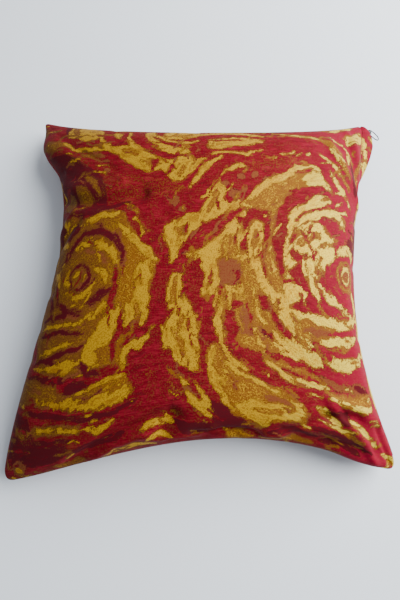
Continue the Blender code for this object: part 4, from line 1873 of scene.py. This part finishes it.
@dataclass
class SeamGuide:
    """The line of the zip seam and the way that its lap hangs.

    Attributes:
        shape: The filled shape.
        standoff: From the side's smooth outline to the lap's sewn edge.
        curl: How far the lap bellies out.
        run: Distance to the places before and after by which the seam's run is measured.
    """

    shape: CushionShape = field(default_factory=CushionShape)
    standoff: float = -0.0022
    curl: float = 0.0012
    run: float = 0.01

    def root(self, t: float) -> tuple[np.ndarray, np.ndarray]:
        """A point of the seam and the level direction away from the cushion.

        Args:
            t: Place along the seam.

        Returns:
            The point and the direction.
        """
        places = np.array((t - self.run, t, t + self.run))
        before, here, after = self.shape.point(np.ones(3), places, Panel.FRONT)
        run = after - before
        outward = np.array((run[1], -run[0], 0.0))
        return here - (0.0, 0.0, self.shape.flatten), outward / np.linalg.norm(outward)

    def point(self, t: float, share: float, inset: float) -> np.ndarray:
        """A point of the lap.

        Args:
            t: Place along the seam.
            share: Place across the lap, 0 at the seam and 1 at its fold.
            inset: Distance behind the lap's middle.

        Returns:
            The point.
        """
        at = [row.t for row in LAP_ROWS]
        width = np.interp(t, at, [row.width for row in LAP_ROWS]) * MM
        droop = math.radians(np.interp(t, at, [row.droop for row in LAP_ROWS]))
        root, outward = self.root(t)
        down = np.array((0.0, 0.0, -1.0))
        along = outward * math.cos(droop) + down * math.sin(droop)
        behind = down * math.cos(droop) - outward * math.sin(droop)
        bulge = self.curl * math.sin(math.pi * min(max(share, 0.0), 1.0))
        return (root + outward * self.standoff + along * width * share
                + behind * (inset - bulge))

    def strip(self, name: str, places: np.ndarray, ring: Sequence[tuple[float, float]]
              ) -> bpy.types.Mesh:
        """A closed strip along the seam.

        Args:
            name: Its name.
            places: Its rows along the seam.
            ring: Its section, as (share across the lap, inset) pairs in order round it.

        Returns:
            The mesh, with its ends closed.
        """
        points = np.array([self.point(t, share, inset) for t in places for share, inset in ring])
        around = len(ring)
        index = np.arange(len(points)).reshape(len(places), around)
        looped = np.concatenate((index, index[:, :1]), axis=1)
        faces = grid_faces(looped).tolist()
        faces += [index[0, ::-1].tolist(), index[-1].tolist()]
        mesh = bpy.data.meshes.new(name)
        mesh.from_pydata(points.tolist(), [], faces)
        shaped = bmesh.new()
        shaped.from_mesh(mesh)
        bmesh.ops.recalc_face_normals(shaped, faces=shaped.faces)
        shaped.to_mesh(mesh)
        shaped.free()
        mesh.shade_smooth()
        return mesh


@dataclass
class ZipLap:
    """The folded strip of satin that covers the zip.

    Attributes:
        guide: The seam that it is sewn into.
        thickness: Thickness of its two layers.
        cut_from: The part of the woven figure that it is cut from, along X.
        map_from: Where it starts on the cloth map along X, in metres.
        flat_width: Its width as it lies flat.
        rows: Rows of points along it.
        shares: Places of its points across.
    """

    guide: SeamGuide
    thickness: float = 0.0018
    cut_from: float = -0.58
    map_from: float = 0.21
    flat_width: float = 17.0 * MM
    rows: int = 180
    shares: tuple[float, ...] = (0.0, 0.08, 0.2, 0.35, 0.5, 0.65, 0.8, 0.92, 0.97)

    def build(self, satin: bpy.types.Material) -> bpy.types.Object:
        """Makes the lap.

        Args:
            satin: Its finish.

        Returns:
            The lap.
        """
        half = self.thickness / 2.0
        outer = [(share, -half) for share in self.shares]
        fold = [(0.995, -half * 0.7), (1.01, 0.0), (0.995, half * 0.7)]
        inner = [(share, half) for share in reversed(self.shares)]
        ring = outer + fold + inner
        places = np.linspace(LAP_ROWS[0].t, LAP_ROWS[-1].t, self.rows)
        mesh = self.guide.strip("lap_strip", places, ring)
        self.weave(mesh, places, ring)
        lap = linked("lap_strip", mesh, satin)
        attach(lap, "root")
        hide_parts("zip_lap")
        return lap

    def weave(self, mesh: bpy.types.Mesh, places: np.ndarray, ring: Sequence) -> None:
        """Weaves the figure into it.

        Args:
            mesh: The lap's mesh.
            places: Its rows along the seam.
            ring: Its section.
        """
        half_panel = self.guide.shape.half_panel
        share = np.tile([pair[0] for pair in ring], len(places))
        t = np.repeat(places, len(ring))
        across = self.cut_from + share * self.flat_width / half_panel
        CoverPattern().woven(across, t).store(mesh, half_panel)
        on_cloth = np.stack((self.map_from + share * self.flat_width, t * half_panel), axis=-1)
        corners = np.empty(len(mesh.loops), np.int32)
        mesh.loops.foreach_get("vertex_index", corners)
        store_cloth_map(mesh, on_cloth[corners])


@dataclass
class BeadRow:
    """Small rounded pieces repeated along a line: stitches, or the teeth of a zip.

    Attributes:
        name: The piece's name.
        pitch: Distance from one to the next.
        length: Size along the line.
        width: Size across the line, on the cloth.
        height: Size out of the cloth.
    """

    name: str
    pitch: float
    length: float
    width: float
    height: float

    def tree(self, finish: bpy.types.Material) -> bpy.types.NodeTree:
        """Builds the nodes that repeat the bead.

        Args:
            finish: The beads' finish.

        Returns:
            The tree.
        """
        tree = bpy.data.node_groups.new(self.name, "GeometryNodeTree")
        face = tree.interface
        face.new_socket("Line", in_out="INPUT", socket_type="NodeSocketGeometry")
        for size in ("Pitch", "Length", "Width", "Height"):
            face.new_socket(size, in_out="INPUT", socket_type="NodeSocketFloat")
        face.new_socket("Beads", in_out="OUTPUT", socket_type="NodeSocketGeometry")
        bench = Bench(tree)
        given = bench.add("NodeGroupInput", {}, {}).outputs
        line = bench.add("GeometryNodeMeshToCurve", {}, {"Mesh": given["Line"]})
        even = bench.add("GeometryNodeResampleCurve", {"mode": "LENGTH"},
                         {"Curve": line.outputs[0], "Length": given["Pitch"]})
        ball = bench.add("GeometryNodeMeshUVSphere", {},
                         {"Segments": 8, "Rings": 6, "Radius": 0.5})
        facing = bench.add("GeometryNodeInputNamedAttribute", {"data_type": "FLOAT_VECTOR"},
                           {"Name": "facing"})
        tangent = bench.add("GeometryNodeInputTangent", {}, {})
        turn = bench.add("FunctionNodeAxesToRotation",
                         {"primary_axis": "X", "secondary_axis": "Z"},
                         {"Primary Axis": tangent.outputs[0],
                          "Secondary Axis": facing.outputs[0]})
        size = bench.add("ShaderNodeCombineXYZ", {},
                         {"X": given["Length"], "Y": given["Width"], "Z": given["Height"]})
        placed = bench.add("GeometryNodeInstanceOnPoints", {},
                           {"Points": even.outputs[0], "Instance": ball.outputs[0],
                            "Rotation": turn.outputs[0], "Scale": size.outputs[0]})
        real = bench.add("GeometryNodeRealizeInstances", {}, {"Geometry": placed.outputs[0]})
        smooth = bench.add("GeometryNodeSetShadeSmooth", {}, {"Geometry": real.outputs[0]})
        dressed = bench.add("GeometryNodeSetMaterial", {},
                            {"Geometry": smooth.outputs[0], "Material": finish})
        bench.add("NodeGroupOutput", {}, {"Beads": dressed.outputs[0]})
        return tree

    def build(self, points: np.ndarray, facing: np.ndarray, finish: bpy.types.Material
              ) -> bpy.types.Object:
        """Makes the row as a plain mesh.

        Args:
            points: The line.
            facing: The direction out of the cloth at each of its points.
            finish: The beads' finish.

        Returns:
            The row.
        """
        line = bpy.data.meshes.new(self.name + "_line")
        line.from_pydata(points.tolist(), [(k, k + 1) for k in range(len(points) - 1)], [])
        out = line.attributes.new("facing", "FLOAT_VECTOR", "POINT")
        out.data.foreach_set("vector", facing.astype(np.float32).ravel())
        holder = linked(self.name + "_line", line)
        tree = self.tree(finish)
        maker = holder.modifiers.new("beads", "NODES")
        maker.node_group = tree
        sizes = {"Pitch": self.pitch, "Length": self.length, "Width": self.width,
                 "Height": self.height}
        for item in tree.interface.items_tree:
            if item.name in sizes:
                maker[item.identifier] = sizes[item.name]
        return linked(self.name, plain_mesh(holder, self.name))


@dataclass
class ZipTape:
    """The closed zip behind the lap: its tapes, its teeth and the lap's stitching.

    Attributes:
        guide: The seam that it follows.
        ends: Where the tape starts and ends along the seam.
        span: The part of the lap's width that it lies behind.
        inset: Distance of its middle behind the lap's.
        thickness: Thickness of the tapes.
        teeth: The coil's teeth.
        stitches: The row of stitches that holds the lap.
        stitch_place: The stitches' share across the lap, and their distance behind its middle.
        margin: How far the rows stop short of the tape's ends.
        points: Points on the line of each row.
    """

    guide: SeamGuide
    ends: tuple[float, float] = (-0.84, 0.962)
    span: tuple[float, float] = (0.45, 0.92)
    inset: float = 0.0022
    thickness: float = 0.0007
    teeth: BeadRow = field(default_factory=lambda: BeadRow(
        "coil_teeth", 0.0012, 0.0008, 0.0034, 0.0010))
    stitches: BeadRow = field(default_factory=lambda: BeadRow(
        "lap_stitches", 0.0030, 0.0024, 0.0005, 0.0004))
    stitch_place: tuple[float, float] = (0.16, -0.0012)
    margin: float = 0.02
    points: int = 240

    def line(self, share: float, inset: float) -> tuple[np.ndarray, np.ndarray]:
        """A line along the seam, with the direction out of the cloth.

        Args:
            share: Place across the lap.
            inset: Distance behind the lap's middle.

        Returns:
            The points and the directions.
        """
        start, end = self.ends
        places = np.linspace(start + self.margin, end - self.margin, self.points)
        points = np.array([self.guide.point(t, share, inset) for t in places])
        behind = np.array([self.guide.point(t, share, inset + MM) for t in places])
        return points, points - behind

    def build(self, tape: bpy.types.Material, thread: bpy.types.Material) -> list:
        """Makes the tapes, the teeth and the stitches.

        Args:
            tape: Finish of the tapes and the teeth.
            thread: Finish of the stitches.

        Returns:
            The three pieces.
        """
        half = self.thickness / 2.0
        shares = np.linspace(*self.span, 7)
        ring = [(share, self.inset - half) for share in shares]
        ring += [(share, self.inset + half) for share in shares[::-1]]
        places = np.linspace(*self.ends, 120)
        mesh = self.guide.strip("zip_tapes", places, ring)
        tapes = linked("zip_tapes", mesh, tape)
        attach(tapes, "root")
        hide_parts("zip_tape")
        middle = sum(self.span) / 2.0
        teeth = self.teeth.build(*self.line(middle, self.inset), tape)
        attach(teeth, "root")
        stitches = self.stitches.build(*self.line(*self.stitch_place), thread)
        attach(stitches, "root")
        return [tapes, teeth, stitches]


@dataclass
class ZipSlider:
    """The zip's slider and its wire pull.

    Attributes:
        size: The body's width, length and thickness.
        taper: Share of its width that the body loses towards its tip.
        bevel: Width of the body's rounded edges.
        place: The middle of the body.
        heading: Level direction that it points in.
        bridge_wire: Radius of the bridge's wire.
        bridge_span: Length of the bridge.
        bridge_rise: Height of the bridge.
        bridge_root: How deep its ends go into the body.
        pull_wire: Radius of the pull's wire.
        pull_length: Length of the pull.
        pull_width: Width of the pull.
        pull_droop: How steeply the pull hangs.
        pull_lift: Height of the pull's end over the body.
    """

    size: Vector = field(default_factory=lambda: Vector((0.0050, 0.0078, 0.0030)))
    taper: float = 0.30
    bevel: float = 0.0007
    place: Vector = field(default_factory=lambda: Vector((0.2063, 0.2013, 0.0136)))
    heading: float = math.radians(-27.0)
    bridge_wire: float = 0.0005
    bridge_span: float = 0.0046
    bridge_rise: float = 0.0029
    bridge_root: float = 0.0008
    pull_wire: float = 0.00055
    pull_length: float = 0.0165
    pull_width: float = 0.0062
    pull_droop: float = math.radians(22.0)
    pull_lift: float = 0.0013

    def wire(self, name: str, points: Sequence, radius: float, closed: bool) -> bpy.types.Mesh:
        """A round wire.

        Args:
            name: Its name.
            points: Its line.
            radius: Its radius.
            closed: Whether it is a loop.

        Returns:
            The mesh.
        """
        curve = bpy.data.curves.new(name, "CURVE")
        curve.dimensions = "3D"
        curve.bevel_depth = radius
        curve.bevel_resolution = 3
        curve.use_fill_caps = True
        spline = curve.splines.new("POLY")
        spline.points.add(len(points) - 1)
        for control, point in zip(spline.points, points):
            control.co = (*point, 1.0)
        spline.use_cyclic_u = closed
        mesh = plain_mesh(linked(name, curve), name)
        mesh.shade_smooth()
        return mesh

    def build(self, metal: bpy.types.Material, bright: bpy.types.Material) -> list:
        """Makes the slider and the pull.

        Args:
            metal: Finish of the slider.
            bright: Finish of the wire pull.

        Returns:
            The two pieces.
        """
        turned = Matrix.Rotation(self.heading - math.pi / 2.0, 4, "Z")
        placed = Matrix.Translation(self.place) @ turned
        shaped = bmesh.new()
        for vert in bmesh.ops.create_cube(shaped, size=1.0)["verts"]:
            taper = 1.0 - self.taper * (vert.co.y + 0.5)
            vert.co = Vector((vert.co.x * self.size.x * taper, vert.co.y * self.size.y,
                              vert.co.z * self.size.z))
        bmesh.ops.bevel(shaped, geom=shaped.edges[:], offset=self.bevel, segments=4,
                        affect="EDGES")
        top, half_span = self.size.z / 2.0, self.bridge_span / 2.0
        turns = [math.pi * k / 16.0 for k in range(17)]
        arch = [(0.0, -half_span, top - self.bridge_root)]
        arch += [(0.0, -half_span * math.cos(turn), top + self.bridge_rise * math.sin(turn) ** 0.8)
                 for turn in turns]
        arch.append((0.0, half_span, top - self.bridge_root))
        shaped.from_mesh(self.wire("bridge", arch, self.bridge_wire, False))
        bmesh.ops.transform(shaped, matrix=placed, verts=shaped.verts)
        mesh = bpy.data.meshes.new("slider_body")
        shaped.to_mesh(mesh)
        shaped.free()
        mesh.shade_smooth()
        body = linked("slider_body", mesh, metal)
        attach(body, "root")
        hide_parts("zip_slider")
        pull = linked("wire_pull", self.pull_mesh(), bright)
        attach(pull, "root")
        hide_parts("zip_pull")
        return [body, pull]

    def pull_mesh(self) -> bpy.types.Mesh:
        """The wire loop, square where it runs under the bridge and round at its tip.

        Returns:
            The mesh, in place.
        """
        steps = 56
        points = []
        for k in range(steps):
            turn = 2.0 * math.pi * k / steps
            along = self.pull_length / 2.0 * (1.0 - math.cos(turn))
            fullness = 0.35 if math.cos(turn) > 0.0 else 0.8
            aside = self.pull_width / 2.0 * abs(math.sin(turn)) ** fullness
            points.append(Vector((along, math.copysign(aside, math.sin(turn)), 0.0)))
        mesh = self.wire("wire_pull", points, self.pull_wire, True)
        lift = Vector((0.0, 0.0, self.size.z / 2.0 + self.pull_lift))
        turn = Matrix.Rotation(self.heading, 4, "Z") @ Matrix.Rotation(self.pull_droop, 4, "Y")
        mesh.transform(Matrix.Translation(self.place + lift) @ turn)
        return mesh


@dataclass
class Studio:
    """The pale floor, the soft light and the camera.

    Attributes:
        camera_place: Where the camera stands.
        right: The picture's right.
        up: The picture's up.
        lens: Focal length for a 36 mm long side.
        key_place: Middle of the key light.
        key_size: Side of the key light.
        key_power: Power of the key light.
        fill: Strength of the light from all around.
        floor_reach: How far the floor reaches from the middle.
    """

    camera_place: Vector = field(default_factory=lambda: Vector((-0.01081, -0.11305, 0.44014)))
    right: Vector = field(default_factory=lambda: Vector((0.9999, -0.00033, 0.01416)))
    up: Vector = field(default_factory=lambda: Vector((-0.00286, 0.97434, 0.22504)))
    lens: float = 23.4
    key_place: Vector = field(default_factory=lambda: Vector((1.00, 0.40, 0.84)))
    key_size: float = 1.5
    key_power: float = 71.0
    fill: float = 0.51
    floor_reach: float = 3.0

    def build(self) -> None:
        """Sets up the studio."""
        floor_mesh = bpy.data.meshes.new("floor")
        shaped = bmesh.new()
        bmesh.ops.create_grid(shaped, x_segments=1, y_segments=1, size=self.floor_reach)
        shaped.to_mesh(floor_mesh)
        shaped.free()
        made, bench = new_material("pale_floor")
        bench.dressed({"Base Color": linear(224, 231, 238), "Roughness": 0.9})
        floor = linked("floor", floor_mesh, made)
        lamp = bpy.data.lights.new("key", "AREA")
        lamp.shape = "DISK"
        lamp.size = self.key_size
        lamp.energy = self.key_power
        key = linked("key", lamp)
        key.location = self.key_place
        key.rotation_euler = (-self.key_place).to_track_quat("-Z", "Y").to_euler()
        world = bpy.data.worlds.new("studio")
        world.use_nodes = True
        shade = world.node_tree.nodes["Background"]
        shade.inputs["Color"].default_value = (*linear(238, 243, 250), 1.0)
        shade.inputs["Strength"].default_value = self.fill
        bpy.context.scene.world = world
        view = bpy.data.cameras.new("picture")
        view.sensor_width = 36.0
        view.lens = self.lens
        camera = linked("picture", view)
        back = self.right.cross(self.up)
        turn = Matrix((self.right, self.up, back)).transposed().to_4x4()
        camera.matrix_world = Matrix.Translation(self.camera_place) @ turn
        bpy.context.scene.camera = camera


def main() -> None:
    """Builds the cushion, its zip and the studio, in order."""
    logging.basicConfig(level=logging.INFO, format="%(message)s")
    satin = SatinFinish().material()
    tape = PlainFinish("zip_tape", linear(92, 28, 32), linear(58, 16, 20), 0.75, 0.0,
                       2500.0).material()
    thread = PlainFinish("thread", linear(138, 20, 34), linear(96, 12, 24), 0.6, 0.0,
                         3000.0).material()
    metal = PlainFinish("dark_metal", linear(120, 116, 112), linear(84, 80, 76), 0.34, 1.0,
                        900.0).material()
    bright = PlainFinish("bright_wire", linear(46, 46, 48), linear(30, 30, 32), 0.42, 0.7,
                         900.0).material()
    shape = CushionShape()
    guide = SeamGuide(shape)
    pieces = [FilledCover(shape).build(satin), ZipLap(guide).build(satin)]
    pieces += ZipTape(guide).build(tape, thread)
    pieces += ZipSlider().build(metal, bright)
    Studio().build()
    for piece in pieces:
        LOG.info("%s: %d faces", piece.name, len(piece.data.polygons))


if __name__ == "__main__":
    main()
